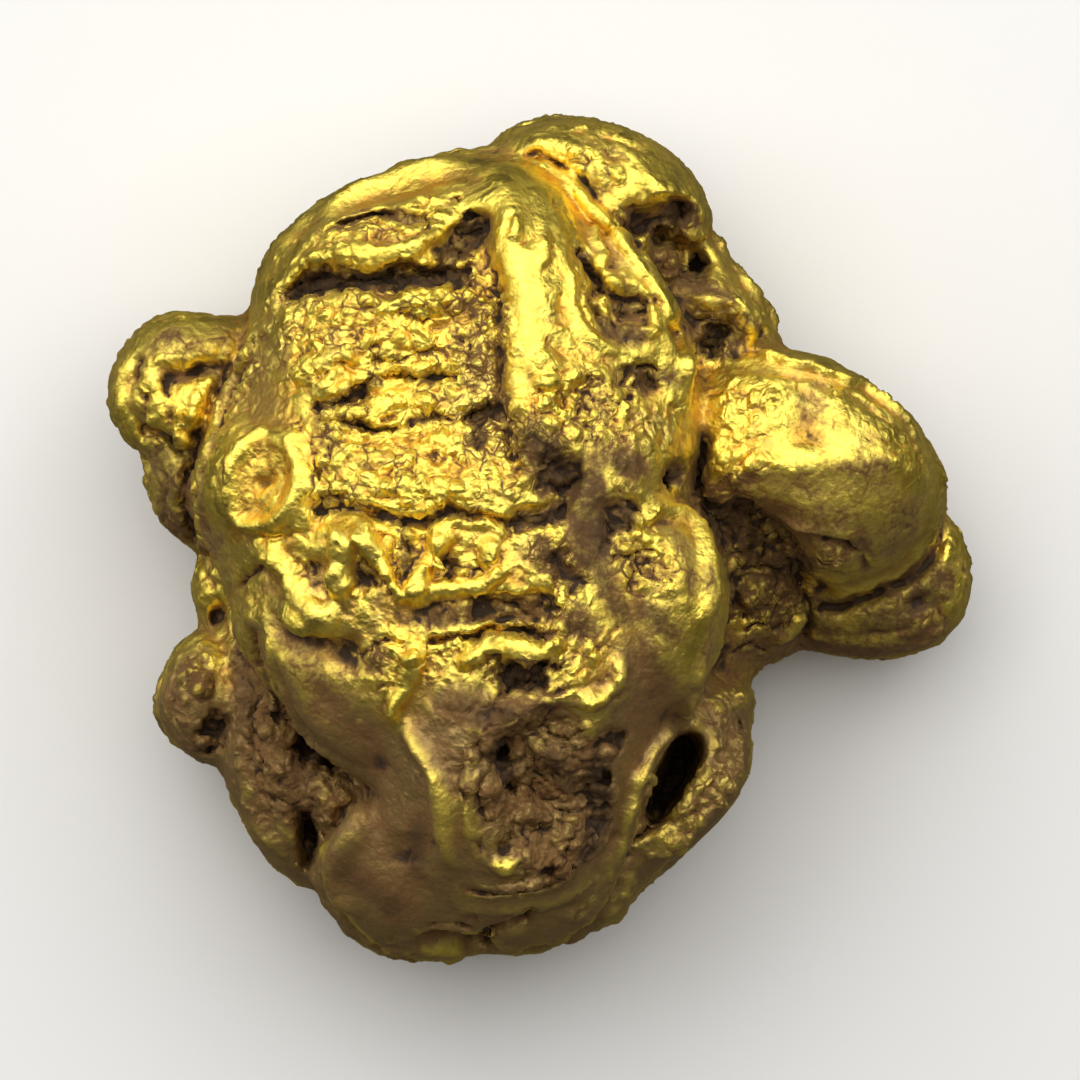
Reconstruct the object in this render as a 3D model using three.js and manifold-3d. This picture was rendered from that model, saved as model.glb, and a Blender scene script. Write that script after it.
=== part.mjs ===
// A placer gold nugget: one lump of native gold, folded and hammered by a river into a thick body with
// blunt lobes round it. It lies on a worn flat at z = 0, with its broad face up. Millimetres, +Z up, and
// the origin under the middle of the lump, on the surface that it lies on.
import * as THREE from "three";
import { mergeVertices } from "three/addons/utils/BufferGeometryUtils.js";
import Module from "manifold-3d";

// Driving dimensions. An outline is a lobe's waist in plan, run anticlockwise through a few points.
const FACET = 0.84; // side of a facet on a lobe
const OUTLINE_SAMPLES = 240;
const SWELL = 0.045; // how far the lobes swell and sag from a smooth pebble, as a share of their size
const SWELL_LENGTH = 4.6; // from one swelling to the next
const WAIST = 0.97; // the part of a lobe's reach beyond which it keeps to its outline
const FLOOR_DEPTH = 6; // of the block that wears the underside flat
const FLOOR_SIDE = 60;

// Each lobe closes over its waist with a crown of height up and a belly of depth down. lean carries the
// top of the crown sideways, rise is the slope of the whole lobe along X and Y, and full is under 1 for a
// boxy section and 1 for a round one.
const LOBES = {
  body: {
    centre: [-1.4, -0.4, 5.4],
    up: 6.6,
    down: 6.0,
    lean: [0.2, -0.4],
    full: 0.74,
    outline: [
      [4.1, 2.6], [3.95, 4.1], [3.25, 5.7], [2.35, 7.3], [1.35, 8.65], [0.15, 9.45], [-1.4, 9.82],
      [-3.0, 9.46], [-4.4, 9.0], [-5.95, 8.12], [-6.88, 7.12], [-7.22, 6.0], [-7.32, 5.1], [-7.6, 4.0],
      [-8.15, 2.9], [-8.55, 1.8], [-8.45, 0.6], [-8.15, -0.5], [-7.75, -1.6], [-7.3, -2.9],
      [-6.5, -4.3], [-5.2, -5.5], [-4.3, -6.6], [-4.1, -8.4], [-2.6, -9.6], [-0.6, -9.8], [1.0, -9.1],
      [2.0, -7.9], [2.55, -6.3], [3.0, -5.1], [4.1, -3.5], [4.65, -2.1], [4.65, -0.9], [4.25, 0.3],
      [3.75, 1.2],
    ],
  },
  crest: {
    centre: [0.1, 5.9, 8.75],
    up: 2.4,
    down: 3.0,
    lean: [0, 0],
    rise: [-0.06, -0.2],
    full: 0.86,
    outline: [
      [2.9, 2.4], [2.1, 3.7], [1.25, 5.2], [1.0, 6.8], [0.9, 8.2], [-0.1, 9.3], [-1.6, 9.3],
      [-1.5, 7.9], [-1.05, 6.2], [-0.9, 4.4], [-0.55, 2.6], [0.3, 1.7], [1.7, 1.5],
    ],
  },
  right_rim: {
    centre: [2.4, 5.6, 8.0],
    up: 2.3,
    down: 3.0,
    lean: [0, 0],
    rise: [0, -0.22],
    full: 0.86,
    outline: [
      [4.1, 2.8], [3.95, 4.2], [3.3, 5.7], [2.4, 7.25], [1.4, 8.6], [0.6, 9.1], [0.9, 8.2],
      [1.9, 6.6], [2.8, 5.2], [3.1, 3.6], [3.3, 2.4],
    ],
  },
  brow: {
    centre: [-6.9, 1.5, 7.6],
    up: 2.9,
    down: 3.0,
    lean: [0.2, 0],
    full: 0.9,
    outline: [[-5.7, 1.5], [-6.0, 2.7], [-7.2, 3.3], [-8.2, 2.5], [-8.5, 1.4], [-8.2, 0.3], [-7.1, -0.2], [-6.0, 0.4]],
  },
  shoulder: {
    centre: [3.2, -1.3, 8.3],
    up: 3.0,
    down: 3.0,
    lean: [-0.3, 0],
    full: 0.86,
    outline: [
      [4.68, -1.6], [4.4, -0.2], [3.75, 0.75], [2.8, 1.05], [1.9, 0.4], [1.5, -1.3], [1.8, -3.0],
      [2.6, -4.6], [3.7, -4.0], [4.45, -2.9],
    ],
  },
  flap: {
    centre: [-5.9, -3.1, 7.4],
    up: 3.6,
    down: 3.0,
    lean: [0.6, 0.5],
    rise: [0.2, 0.05],
    full: 0.86,
    outline: [
      [-3.4, -4.6], [-3.9, -2.4], [-5.4, -0.9], [-7.2, -0.9], [-7.7, -1.7], [-7.55, -2.6], [-7.0, -3.3],
      [-6.4, -4.1], [-5.8, -5.0], [-5.0, -5.6], [-4.1, -5.9],
    ],
  },
  foot: {
    centre: [-2.0, -7.8, 4.9],
    up: 4.9,
    down: 4.2,
    lean: [0.2, 1.3],
    full: 0.74,
    outline: [
      [2.5, -8.6], [1.1, -9.98], [-0.6, -10.42], [-2.4, -10.54], [-3.6, -10.4], [-4.65, -9.88],
      [-5.35, -9.0], [-5.66, -8.2], [-5.4, -7.4], [-4.6, -6.8], [-4.0, -5.4], [-1.0, -4.6], [1.9, -6.0],
    ],
  },
  right_lobe: {
    centre: [6.9, 1.8, 4.8],
    up: 3.9,
    down: 3.4,
    lean: [-0.2, 0.1],
    rise: [-0.05, -0.02],
    full: 0.68,
    outline: [
      [10.18, 1.3], [9.8, 2.38], [9.05, 3.35], [8.05, 4.07], [7.0, 4.56], [5.8, 4.82], [4.4, 4.6],
      [3.4, 3.6], [3.2, 2.3], [3.6, 1.2], [4.6, 0.6], [5.7, 0.2], [6.5, -0.5], [7.3, -1.35], [8.4, -1.15],
      [9.4, -0.5], [10.0, 0.3],
    ],
  },
  right_toe: {
    centre: [8.6, -1.3, 3.5],
    up: 2.5,
    down: 2.4,
    lean: [0, 0],
    full: 0.74,
    outline: [
      [10.52, 0.4], [10.85, -0.5], [10.82, -1.4], [10.5, -2.18], [9.9, -2.75], [9.1, -2.98],
      [7.9, -2.95], [6.8, -2.75], [6.0, -2.4], [5.9, -0.9], [7.2, 0.3], [9.3, 0.9],
    ],
  },
  right_neck: {
    centre: [4.9, -1.6, 3.9],
    up: 2.7,
    down: 2.7,
    lean: [0, 0],
    rise: [0, 0.3],
    full: 0.8,
    outline: [
      [7.0, -1.7], [6.35, -2.8], [5.5, -3.15], [5.17, -3.6], [4.2, -4.6], [2.6, -3.6], [2.4, -0.6],
      [3.6, 1.7], [4.8, 2.0], [6.0, 1.7], [7.0, 0.4],
    ],
  },
  loop: {
    centre: [3.2, -6.0, 4.3],
    up: 3.5,
    down: 3.3,
    lean: [-0.3, 0.2],
    full: 0.76,
    outline: [
      [5.27, -5.3], [5.1, -6.1], [4.42, -7.05], [3.6, -7.85], [2.65, -8.65], [1.4, -9.0], [0.8, -7.0],
      [1.4, -4.8], [2.6, -3.2], [4.0, -3.2], [5.4, -3.8], [5.3, -4.5],
    ],
  },
  back_fold: {
    centre: [-5.9, -5.2, 3.9],
    up: 3.3,
    down: 3.2,
    lean: [0.3, 0.3],
    full: 0.78,
    outline: [
      [-3.2, -5.0], [-4.4, -2.6], [-6.2, -1.4], [-7.6, -2.1], [-7.85, -3.2], [-7.75, -4.3], [-8.05, -5.2],
      [-7.93, -6.0], [-7.5, -6.9], [-7.0, -7.8], [-6.25, -8.48], [-5.3, -8.85], [-3.8, -7.6],
    ],
  },
  left_heel: {
    centre: [-8.2, -3.9, 3.3],
    up: 2.5,
    down: 2.2,
    lean: [0, 0],
    full: 0.8,
    outline: [
      [-6.6, -3.8], [-7.4, -2.4], [-8.3, -2.22], [-8.93, -2.5], [-9.4, -3.2], [-9.68, -4.0],
      [-9.52, -4.75], [-9.0, -5.25], [-8.2, -5.7], [-7.2, -5.3],
    ],
  },
  left_knob: {
    centre: [-7.7, -1.3, 3.5],
    up: 1.7,
    down: 1.6,
    lean: [0, 0],
    full: 0.9,
    outline: [[-6.8, -1.3], [-7.5, 0.1], [-8.5, -0.3], [-8.72, -1.15], [-8.52, -2.0], [-8.2, -2.6], [-7.2, -2.4]],
  },
  left_ear_low: {
    centre: [-8.3, 1.5, 3.7],
    up: 2.9,
    down: 2.4,
    lean: [0.2, 0.3],
    full: 0.78,
    outline: [
      [-6.7, 1.4], [-7.2, 3.0], [-8.4, 3.5], [-9.4, 3.2], [-9.9, 2.5], [-9.9, 1.6], [-9.68, 0.8],
      [-9.15, 0.1], [-8.5, -0.3], [-7.4, -0.3],
    ],
  },
  left_ear_high: {
    centre: [-8.6, 4.1, 4.2],
    up: 2.7,
    down: 2.5,
    lean: [0.1, 0.2],
    rise: [0, -0.15],
    full: 0.74,
    outline: [
      [-6.4, 4.4], [-7.0, 5.4], [-8.0, 5.6], [-9.0, 5.73], [-9.8, 5.5], [-10.35, 4.98], [-10.76, 4.15],
      [-10.82, 3.3], [-10.5, 2.6], [-9.85, 2.15], [-8.4, 2.0], [-6.9, 2.9],
    ],
  },
  cap: {
    centre: [1.7, 8.7, 4.8],
    up: 3.7,
    down: 3.0,
    lean: [0, 0.2],
    rise: [-0.05, -0.25],
    full: 0.64,
    outline: [
      [4.28, 7.6], [4.28, 8.2], [4.0, 8.88], [3.6, 9.4], [3.03, 9.85], [2.2, 10.25], [1.2, 10.52],
      [0.2, 10.52], [-0.65, 10.33], [-1.45, 9.8], [-1.0, 8.4], [0.6, 7.3], [2.6, 6.9],
    ],
  },
  web: {
    centre: [3.9, 5.9, 3.9],
    up: 3.2,
    down: 2.7,
    lean: [-0.2, 0],
    rise: [0, -0.12],
    full: 0.76,
    outline: [
      [6.3, 4.2], [6.05, 4.95], [5.78, 5.72], [5.22, 6.47], [4.75, 7.1], [4.32, 7.85], [3.2, 8.3],
      [1.6, 7.8], [1.4, 5.6], [2.4, 3.6], [4.6, 3.0],
    ],
  },
};

// Hollows are pebbles too, taken out of the lump.
const HOLLOWS = {
  face_hollow: {
    centre: [-3.7, 3.7, 12.6],
    up: 2,
    down: 2.0,
    lean: [0, 0],
    rise: [0.02, -0.24],
    full: 0.92,
    outline: [
      [-0.95, 3.2], [-1.0, 4.6], [-1.1, 6.4], [-2.8, 6.5], [-4.6, 6.4], [-6.0, 6.0], [-6.5, 4.6],
      [-6.1, 3.1], [-5.5, 1.6], [-3.7, 0.9], [-1.6, 1.0], [-0.6, 1.7],
    ],
  },
  loop_hole: {
    centre: [3.45, -5.85, 7.2],
    up: 3,
    down: 4.2,
    lean: [0, 0],
    full: 0.8,
    outline: [
      [4.15, -4.9], [3.5, -4.75], [3.0, -5.4], [2.7, -6.3], [2.45, -7.3], [3.0, -7.2], [3.7, -6.4],
      [4.05, -5.6],
    ],
  },
  cap_recess: {
    centre: [3.5, 7.15, 7.6],
    up: 2.5,
    down: 2.1,
    lean: [0, 0],
    full: 0.8,
    outline: [[4.5, 6.6], [4.15, 7.35], [3.5, 7.75], [2.6, 7.9], [2.75, 7.35], [3.2, 6.75], [3.9, 6.3]],
  },
  fold_recess: {
    centre: [-5.75, -7.3, 7.2],
    up: 2.5,
    down: 2.8,
    lean: [0, 0],
    full: 0.85,
    outline: [[-5.45, -7.4], [-5.6, -6.7], [-6.0, -6.4], [-6.15, -7.0], [-6.05, -7.8], [-5.75, -8.5]],
  },
};

const GOLD = { color: 0xc9a227, roughness: 0.35, metalness: 1 };

// Distance from a centre to a closed outline, as a function of the plan angle.
function reachOf(centre, outline) {
  const ring = new THREE.CatmullRomCurve3(
    outline.map(([x, y]) => new THREE.Vector3(x - centre[0], y - centre[1], 0)),
    true,
    "centripetal",
  );
  const samples = ring
    .getPoints(OUTLINE_SAMPLES)
    .map((p) => [Math.atan2(p.y, p.x), Math.hypot(p.x, p.y)])
    .sort((a, b) => a[0] - b[0]);
  const first = samples[0];
  const last = samples[samples.length - 1];
  const wrapped = [[last[0] - 2 * Math.PI, last[1]], ...samples, [first[0] + 2 * Math.PI, first[1]]];
  return (angle) => {
    const after = wrapped.findIndex(([a]) => a >= angle);
    const [a0, r0] = wrapped[Math.max(after - 1, 0)];
    const [a1, r1] = wrapped[after];
    return a1 > a0 ? r0 + ((r1 - r0) * (angle - a0)) / (a1 - a0) : r0;
  };
}

// A slow, irregular swelling in three directions, so that no lobe is an exact pebble.
function swell({ x, y, z }) {
  const k = (2 * Math.PI) / SWELL_LENGTH;
  const wave = Math.sin(k * x + 1.7 * Math.sin(0.6 * k * y)) + Math.sin(0.8 * k * y + 1.3 * Math.sin(0.7 * k * z));
  return 1 + (SWELL / SWELL_LENGTH) * wave;
}

// A closed pebble: an icosphere whose equator is drawn out to the outline.
function pebble({ centre, up, down, lean, full, outline, rise = [0, 0] }) {
  const reach = reachOf(centre, outline);
  const widths = outline.map(([x, y]) => Math.hypot(x - centre[0], y - centre[1]));
  const size = (widths.reduce((a, b) => a + b) / widths.length + (up + down) / 2) / 2;
  const detail = Math.max(2, Math.round((1.1 * size) / FACET) - 1);
  const ball = new THREE.IcosahedronGeometry(1, detail);
  ball.deleteAttribute("normal");
  ball.deleteAttribute("uv");
  const shape = mergeVertices(ball, 1e-5);
  const place = shape.getAttribute("position");
  const middle = new THREE.Vector3(...centre);
  const v = new THREE.Vector3();
  for (let i = 0; i < place.count; i++) {
    v.fromBufferAttribute(place, i);
    const flat = Math.min(1, Math.hypot(v.x, v.y));
    const angle = Math.atan2(v.y, v.x);
    const out = reach(angle) * flat ** full;
    const height = Math.abs(v.z) ** full * (v.z > 0 ? up : -down);
    const drift = v.z > 0 ? v.z ** 2 : 0;
    v.set(Math.cos(angle) * out, Math.sin(angle) * out, height);
    v.multiplyScalar(flat > WAIST ? 1 : swell(v));
    v.x += lean[0] * drift;
    v.y += lean[1] * drift;
    v.z += rise[0] * v.x + rise[1] * v.y;
    v.add(middle);
    place.setXYZ(i, v.x, v.y, v.z);
  }
  return shape;
}

const wasm = await Module();
wasm.setup();

function solidOf(shape) {
  const vertProperties = new Float32Array(shape.getAttribute("position").array);
  const triVerts = new Uint32Array(shape.index.array);
  return new wasm.Manifold(new wasm.Mesh({ numProp: 3, vertProperties, triVerts }));
}

function geometryOf(solid) {
  const mesh = solid.getMesh();
  const shape = new THREE.BufferGeometry();
  shape.setAttribute("position", new THREE.BufferAttribute(new Float32Array(mesh.vertProperties), 3));
  shape.setIndex(new THREE.BufferAttribute(new Uint32Array(mesh.triVerts), 1));
  return shape;
}

// The block under z = 0, which takes off whatever the river has worn away.
function wornBlock() {
  const block = new THREE.BoxGeometry(FLOOR_SIDE, FLOOR_SIDE, FLOOR_DEPTH);
  block.translate(0, 0, -FLOOR_DEPTH / 2);
  block.deleteAttribute("normal");
  block.deleteAttribute("uv");
  return mergeVertices(block);
}

function buildNugget() {
  const lump = Object.values(LOBES)
    .map((lobe) => solidOf(pebble(lobe)))
    .reduce((a, b) => a.add(b));
  const hollowed = Object.values(HOLLOWS)
    .map((hollow) => solidOf(pebble(hollow)))
    .reduce((a, b) => a.subtract(b), lump);
  const worn = hollowed.subtract(solidOf(wornBlock()));
  const nugget = new THREE.Mesh(geometryOf(worn), new THREE.MeshStandardMaterial(GOLD));
  nugget.name = "nugget";
  return nugget;
}

const model = new THREE.Group();
model.add(buildNugget());
export default model;
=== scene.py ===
"""Looks of a placer gold nugget: one lump of native gold, folded, cracked and worn by a river.

The lump is cast from the CAD solid, then its folds, cracks, pockets and grain are worked into it from all
sides with a set of tools that push the metal in or draw it out along given paths. Sizes and places are
in millimetres in the row frame, and the finished mesh is in metres.
"""

from __future__ import annotations

import logging
import math
from dataclasses import dataclass, field, replace
from enum import Enum
from typing import Any, Iterable, Sequence

import bpy
import numpy as np
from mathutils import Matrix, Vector
from mathutils.bvhtree import BVHTree


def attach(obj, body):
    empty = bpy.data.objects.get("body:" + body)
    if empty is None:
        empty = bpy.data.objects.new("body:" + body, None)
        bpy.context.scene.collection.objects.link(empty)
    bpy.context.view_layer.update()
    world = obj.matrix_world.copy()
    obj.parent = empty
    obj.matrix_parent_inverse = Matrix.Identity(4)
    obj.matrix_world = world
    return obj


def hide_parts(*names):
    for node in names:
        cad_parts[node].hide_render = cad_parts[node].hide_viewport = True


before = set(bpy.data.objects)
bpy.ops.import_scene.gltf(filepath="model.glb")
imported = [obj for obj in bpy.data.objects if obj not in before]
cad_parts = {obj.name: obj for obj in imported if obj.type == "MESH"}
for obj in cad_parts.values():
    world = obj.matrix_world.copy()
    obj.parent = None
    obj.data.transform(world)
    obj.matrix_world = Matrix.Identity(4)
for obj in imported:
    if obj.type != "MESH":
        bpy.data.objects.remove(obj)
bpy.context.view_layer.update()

LOG = logging.getLogger("nugget")
NODE = "nugget"
MM = 0.001

Points = np.ndarray
Plan = tuple[tuple[float, float], ...]


# ---------------------------------------------------------------- random fields


def smoothstep(x: Points) -> Points:
    """Eases 0..1 so that both ends are level."""
    x = np.clip(x, 0.0, 1.0)
    return x * x * (3.0 - 2.0 * x)


# Odd factors that scatter a cell, a seed and a channel over a 32-bit word, and the shifts that stir it.
SPREAD = (374761393, 668265263, 1440662683, 974634777, 1103515245)
STIR = ((13, 1274126177), (16, 2246822519))
WORD = 0xFFFFFFFF
FRACTION = 0xFFFFF


@dataclass(frozen=True)
class Lattice:
    """Random fields over space, the same on every run.

    Args:
        seed: picks the field.
    """

    seed: int

    def _draw(self, cell: Points, channel: int) -> Points:
        """A random number from 0 to 1 for each whole-numbered cell.

        Args:
            cell: cell indices, N by 3.
            channel: picks one of several numbers for the same cell.

        Returns:
            N numbers.
        """
        c = cell.astype(np.int64)
        h = c[:, 0] * SPREAD[0] + c[:, 1] * SPREAD[1] + c[:, 2] * SPREAD[2]
        h = (h + self.seed * SPREAD[3] + channel * SPREAD[4]) & WORD
        for shift, factor in STIR:
            h = ((h ^ (h >> shift)) * factor) & WORD
        return ((h ^ (h >> 15)) & FRACTION) / float(FRACTION)

    def smooth(self, points: Points, size: float) -> Points:
        """A soft field from -1 to 1.

        Args:
            points: where it is wanted, N by 3, in mm.
            size: from one swelling to the next, in mm.

        Returns:
            N numbers.
        """
        p = points / size
        base = np.floor(p)
        f = smoothstep(p - base)
        total = np.zeros(len(p))
        for corner in range(8):
            step = np.array([corner & 1, corner >> 1 & 1, corner >> 2 & 1])
            weight = np.prod(np.where(step, f, 1.0 - f), axis=1)
            total += weight * self._draw(base + step, 0)
        return total * 2.0 - 1.0

    def rough(self, points: Points, size: float, octaves: int = 3) -> Points:
        """Several soft fields added, each half the size of the one before.

        Args:
            points: where it is wanted, N by 3, in mm.
            size: of the largest swelling, in mm.
            octaves: how many fields.

        Returns:
            N numbers, about -1 to 1.
        """
        total = np.zeros(len(points))
        for octave in range(octaves):
            total += self.smooth(points + 17.3 * octave, size / 2**octave) / 1.7**octave
        return total / 1.6

    def cells(self, points: Points, size: float) -> tuple[Points, Points]:
        """Scattered lumps that meet in seams.

        Args:
            points: where they are wanted, N by 3, in mm.
            size: mean distance between the lumps, in mm.

        Returns:
            How far each point is from the nearest seam, and the height of its lump there, each about 0 to 1.
        """
        p = points / size
        base = np.floor(p)
        first = np.full(len(p), 9.0)
        second = np.full(len(p), 9.0)
        height = np.zeros(len(p))
        for corner in range(27):
            cell = base + np.array([corner % 3, corner // 3 % 3, corner // 9]) - 1
            offset = p - cell - np.stack([self._draw(cell, k) for k in (1, 2, 3)], axis=1)
            gap = np.linalg.norm(offset, axis=1)
            tilt = np.stack([self._draw(cell, k) - 0.5 for k in (4, 5, 6)], axis=1)
            lump = 0.4 + 0.6 * self._draw(cell, 7) + 2.1 * np.einsum("ij,ij->i", offset, tilt)
            nearer = gap < first
            height = np.where(nearer, lump, height)
            second = np.minimum(second, np.maximum(first, gap))
            first = np.minimum(first, gap)
        return second - first, height


# ---------------------------------------------------------------- tools


class Profile(Enum):
    """The cross-section that a tool leaves across its path."""

    ROUND = "round"
    SHARP = "sharp"
    FLAT = "flat"
    CRACK = "crack"
    STEP = "step"

    def across(self, t: Points, side: Points) -> Points:
        """How much of the tool's depth is felt at a distance from its path.

        Args:
            t: distance from the path as a share of the half-width, 0 to 1.
            side: positive to the left of the path and negative to the right, as a share of the half-width.

        Returns:
            Shares of the depth.
        """
        if self is Profile.ROUND:
            return (1.0 - t * t) ** 2
        if self is Profile.SHARP:
            return (1.0 - t) ** 1.6
        if self is Profile.FLAT:
            return 1.0 - smoothstep((t - 0.45) / 0.55)
        if self is Profile.CRACK:
            inside = np.clip(1.0 - t / 0.62, 0.0, 1.0) ** 1.25
            lip = 0.16 * np.exp(-(((t - 0.76) / 0.13) ** 2))
            return inside - lip
        fade = (1.0 - t) ** 1.3
        return fade * (0.92 * smoothstep(0.5 - side / 0.14) - 0.16 * smoothstep(side / 0.3))


# Profiles whose edge and depth are ragged, as in torn metal.
TORN = (Profile.CRACK, Profile.FLAT)


class Facing(Enum):
    """The side that a path is drawn on: its two axes, the axis that it looks along, and that axis's sign."""

    TOP = (0, 1, 2, 1.0)
    FRONT = (0, 2, 1, -1.0)
    BACK = (0, 2, 1, 1.0)
    LEFT = (1, 2, 0, -1.0)
    RIGHT = (1, 2, 0, 1.0)


SIDES = (Facing.FRONT, Facing.BACK, Facing.LEFT, Facing.RIGHT)


@dataclass(frozen=True)
class Stroke:
    """One pass of a tool along a path drawn on one side of the lump.

    Args:
        path: its points in that side's plane, in mm.
        width: half of the tool's width, in mm.
        lift: how far the metal is drawn out, or pressed in where it is negative, in mm.
        profile: cross-section.
        plunge: press straight in from that side, and not square to the surface.
        taper: share of the path over which each end fades out.
        stain_and_painted_light: how much brown staining is left along it, up to 1, and under 0 where it is
            rubbed off; at some places it is painted shade, and under 0 painted highlight.
        rough: how much grain is left along it, from -1 (burnished) to 1.
        facing: the side that it is drawn on.
    """

    path: Plan
    width: float
    lift: float
    profile: Profile = Profile.ROUND
    plunge: bool = False
    taper: float = 0.22
    stain_and_painted_light: float = 0.0
    rough: float = 0.0
    facing: Facing = Facing.TOP


# From one point of a path to the next, and how far off the rays that lay it on the surface start.
STEP_MM = 0.07
ABOVE_MM = 40.0

# How far space is bent under the tools and how long each bend is, for wide bends and for small ones.
BENDS_MM = ((0.17, 1.15), (0.08, 0.42))


def curve_through(path: Plan) -> Points:
    """A smooth line through a path's points, by the Catmull-Rom rule.

    Args:
        path: its points, at least one.

    Returns:
        Points a small step apart, N by 2.
    """
    p = np.array(path, float)
    if len(p) == 1:
        return p
    ends = np.concatenate([[2 * p[0] - p[1]], p, [2 * p[-1] - p[-2]]])
    out = []
    for a, b, c, d in zip(ends, ends[1:], ends[2:], ends[3:]):
        count = max(2, int(np.linalg.norm(c - b) / STEP_MM))
        t = np.linspace(0.0, 1.0, count, endpoint=False)[:, None]
        cubic = (3 * b - a - 3 * c + d) * t**3
        out.append(0.5 * (2 * b + (c - a) * t + (2 * a - 5 * b + 4 * c - d) * t**2 + cubic))
    out.append(p[-1:])
    return np.concatenate(out)


@dataclass
class Bench:
    """The lump as arrays while tools work it.

    Args:
        points: vertices, in mm.
        normals: their normals.
        tree: the surface, for finding where a path lies on it.

    Attributes:
        stain_and_painted_light: how brown each vertex is, from staining and from painted shade, and under 0
            where rubbing and painted highlight brighten it.
        rough: how grainy each vertex is.
        warped: the vertices in bent space, as the tools meet them.
        ragged: how far each vertex stretches a torn edge.
        patchy: how deep a torn form goes at each vertex.
    """

    points: Points
    normals: Points
    tree: BVHTree
    stain_and_painted_light: Points = field(init=False)
    rough: Points = field(init=False)
    warped: Points = field(init=False)
    ragged: Points = field(init=False)
    patchy: Points = field(init=False)

    def __post_init__(self) -> None:
        """Bends space a little, so that no tool leaves an exact edge."""
        count = len(self.points)
        self.stain_and_painted_light = np.zeros(count)
        self.rough = np.zeros(count)
        (wide, wide_run), (small, small_run) = BENDS_MM
        self.warped = self.points + np.stack([
            wide * Lattice(seed).smooth(self.points, wide_run)
            + small * Lattice(seed + 9).smooth(self.points, small_run)
            for seed in (1, 2, 3)
        ], axis=1)
        self.ragged = 1.0 + 0.42 * Lattice(5).rough(self.points, 0.9, 3)
        self.patchy = 1.0 + 0.5 * Lattice(6).rough(self.points, 0.7, 3)

    @classmethod
    def of(cls, piece: bpy.types.Object) -> Bench:
        """Reads a mesh object.

        Args:
            piece: the object, in mm.

        Returns:
            Its bench.
        """
        mesh = piece.data
        count = len(mesh.vertices)
        points = np.zeros(count * 3)
        normals = np.zeros(count * 3)
        mesh.vertices.foreach_get("co", points)
        mesh.vertex_normals.foreach_get("vector", normals)
        points = points.reshape(-1, 3)
        tree = BVHTree.FromPolygons(points.tolist(), [tuple(f.vertices) for f in mesh.polygons])
        return cls(points, normals.reshape(-1, 3), tree)

    def lay(self, stroke: Stroke) -> Points:
        """Lays a path on the surface.

        Args:
            stroke: the pass.

        Returns:
            Points on the surface, N by 3, with any that miss it left out.
        """
        a, b, axis, sign = stroke.facing.value
        flat = curve_through(stroke.path)
        direction = Vector((0, 0, 0))
        direction[axis] = -sign
        found = []
        for u, v in flat:
            start = Vector((0, 0, 0))
            start[a], start[b], start[axis] = u, v, sign * ABOVE_MM
            hit = self.tree.ray_cast(start, direction)[0]
            if hit is not None:
                found.append(hit[:])
        return np.array(found)

    def reach(self, stroke: Stroke) -> tuple[Points, Points]:
        """Finds what a pass touches.

        Args:
            stroke: the pass.

        Returns:
            The vertices touched, and the share of the tool's depth that each feels.
        """
        line = self.lay(stroke)
        if not len(line):
            return np.zeros(0, int), np.zeros(0)
        low = line.min(0) - stroke.width
        high = line.max(0) + stroke.width
        near = np.flatnonzero(np.all((self.warped > low) & (self.warped < high), axis=1))
        offset = self.warped[near, None, :] - line[None, :, :]
        gap = np.linalg.norm(offset, axis=2)
        nearest = gap.argmin(1)
        t = gap[np.arange(len(near)), nearest] / stroke.width
        torn = stroke.profile in TORN
        if torn:
            t = t * self.ragged[near]
        felt = t < 1.0
        near, nearest, t = near[felt], nearest[felt], t[felt]
        if not len(near):
            return near, t
        a, b, _, _ = stroke.facing.value
        tangent = np.gradient(line, axis=0) if len(line) > 1 else np.ones_like(line)
        away = self.warped[near] - line[nearest]
        run = tangent[nearest]
        length = np.maximum(np.hypot(run[:, a], run[:, b]), 1e-9)
        side = (run[:, a] * away[:, b] - run[:, b] * away[:, a]) / length / stroke.width
        amount = stroke.profile.across(t, side)
        if torn:
            amount = amount * self.patchy[near]
        if len(line) > 1 and stroke.taper > 0:
            along = nearest / (len(line) - 1)
            amount = amount * smoothstep(np.minimum(along, 1.0 - along) / stroke.taper + 0.15)
        return near, amount

    def work(self, strokes: Iterable[Stroke]) -> None:
        """Moves the metal, one pass after another.

        Args:
            strokes: the passes.
        """
        moved = np.zeros_like(self.points)
        for stroke in strokes:
            near, amount = self.reach(stroke)
            if stroke.plunge:
                _, _, axis, sign = stroke.facing.value
                way = np.zeros(3)
                way[axis] = sign
                moved[near] += amount[:, None] * stroke.lift * way
            else:
                moved[near] += amount[:, None] * stroke.lift * self.normals[near]
        self.points = self.points + moved

    def dirty(self, strokes: Iterable[Stroke]) -> None:
        """Marks where the passes leave staining, painted shade, painted highlight and grain.

        Args:
            strokes: the passes.
        """
        for stroke in sorted(strokes, key=lambda s: s.stain_and_painted_light < 0.0):
            if not stroke.stain_and_painted_light and not stroke.rough:
                continue
            near, amount = self.reach(stroke)
            amount = np.clip(amount, 0.0, 1.0) ** 0.6
            if stroke.stain_and_painted_light < 0.0:
                self.stain_and_painted_light[near] = np.maximum(self.stain_and_painted_light[near] + amount * stroke.stain_and_painted_light, -1.0)
            else:
                self.stain_and_painted_light[near] = np.maximum(self.stain_and_painted_light[near], amount * stroke.stain_and_painted_light)
            self.rough[near] += amount * stroke.rough

    def put(self, piece: bpy.types.Object) -> None:
        """Writes the points back to the mesh.

        Args:
            piece: the object they came from.
        """
        piece.data.vertices.foreach_set("co", self.points.astype(np.float32).ravel())
        piece.data.update()


# ---------------------------------------------------------------- the regions of the lump


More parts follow.
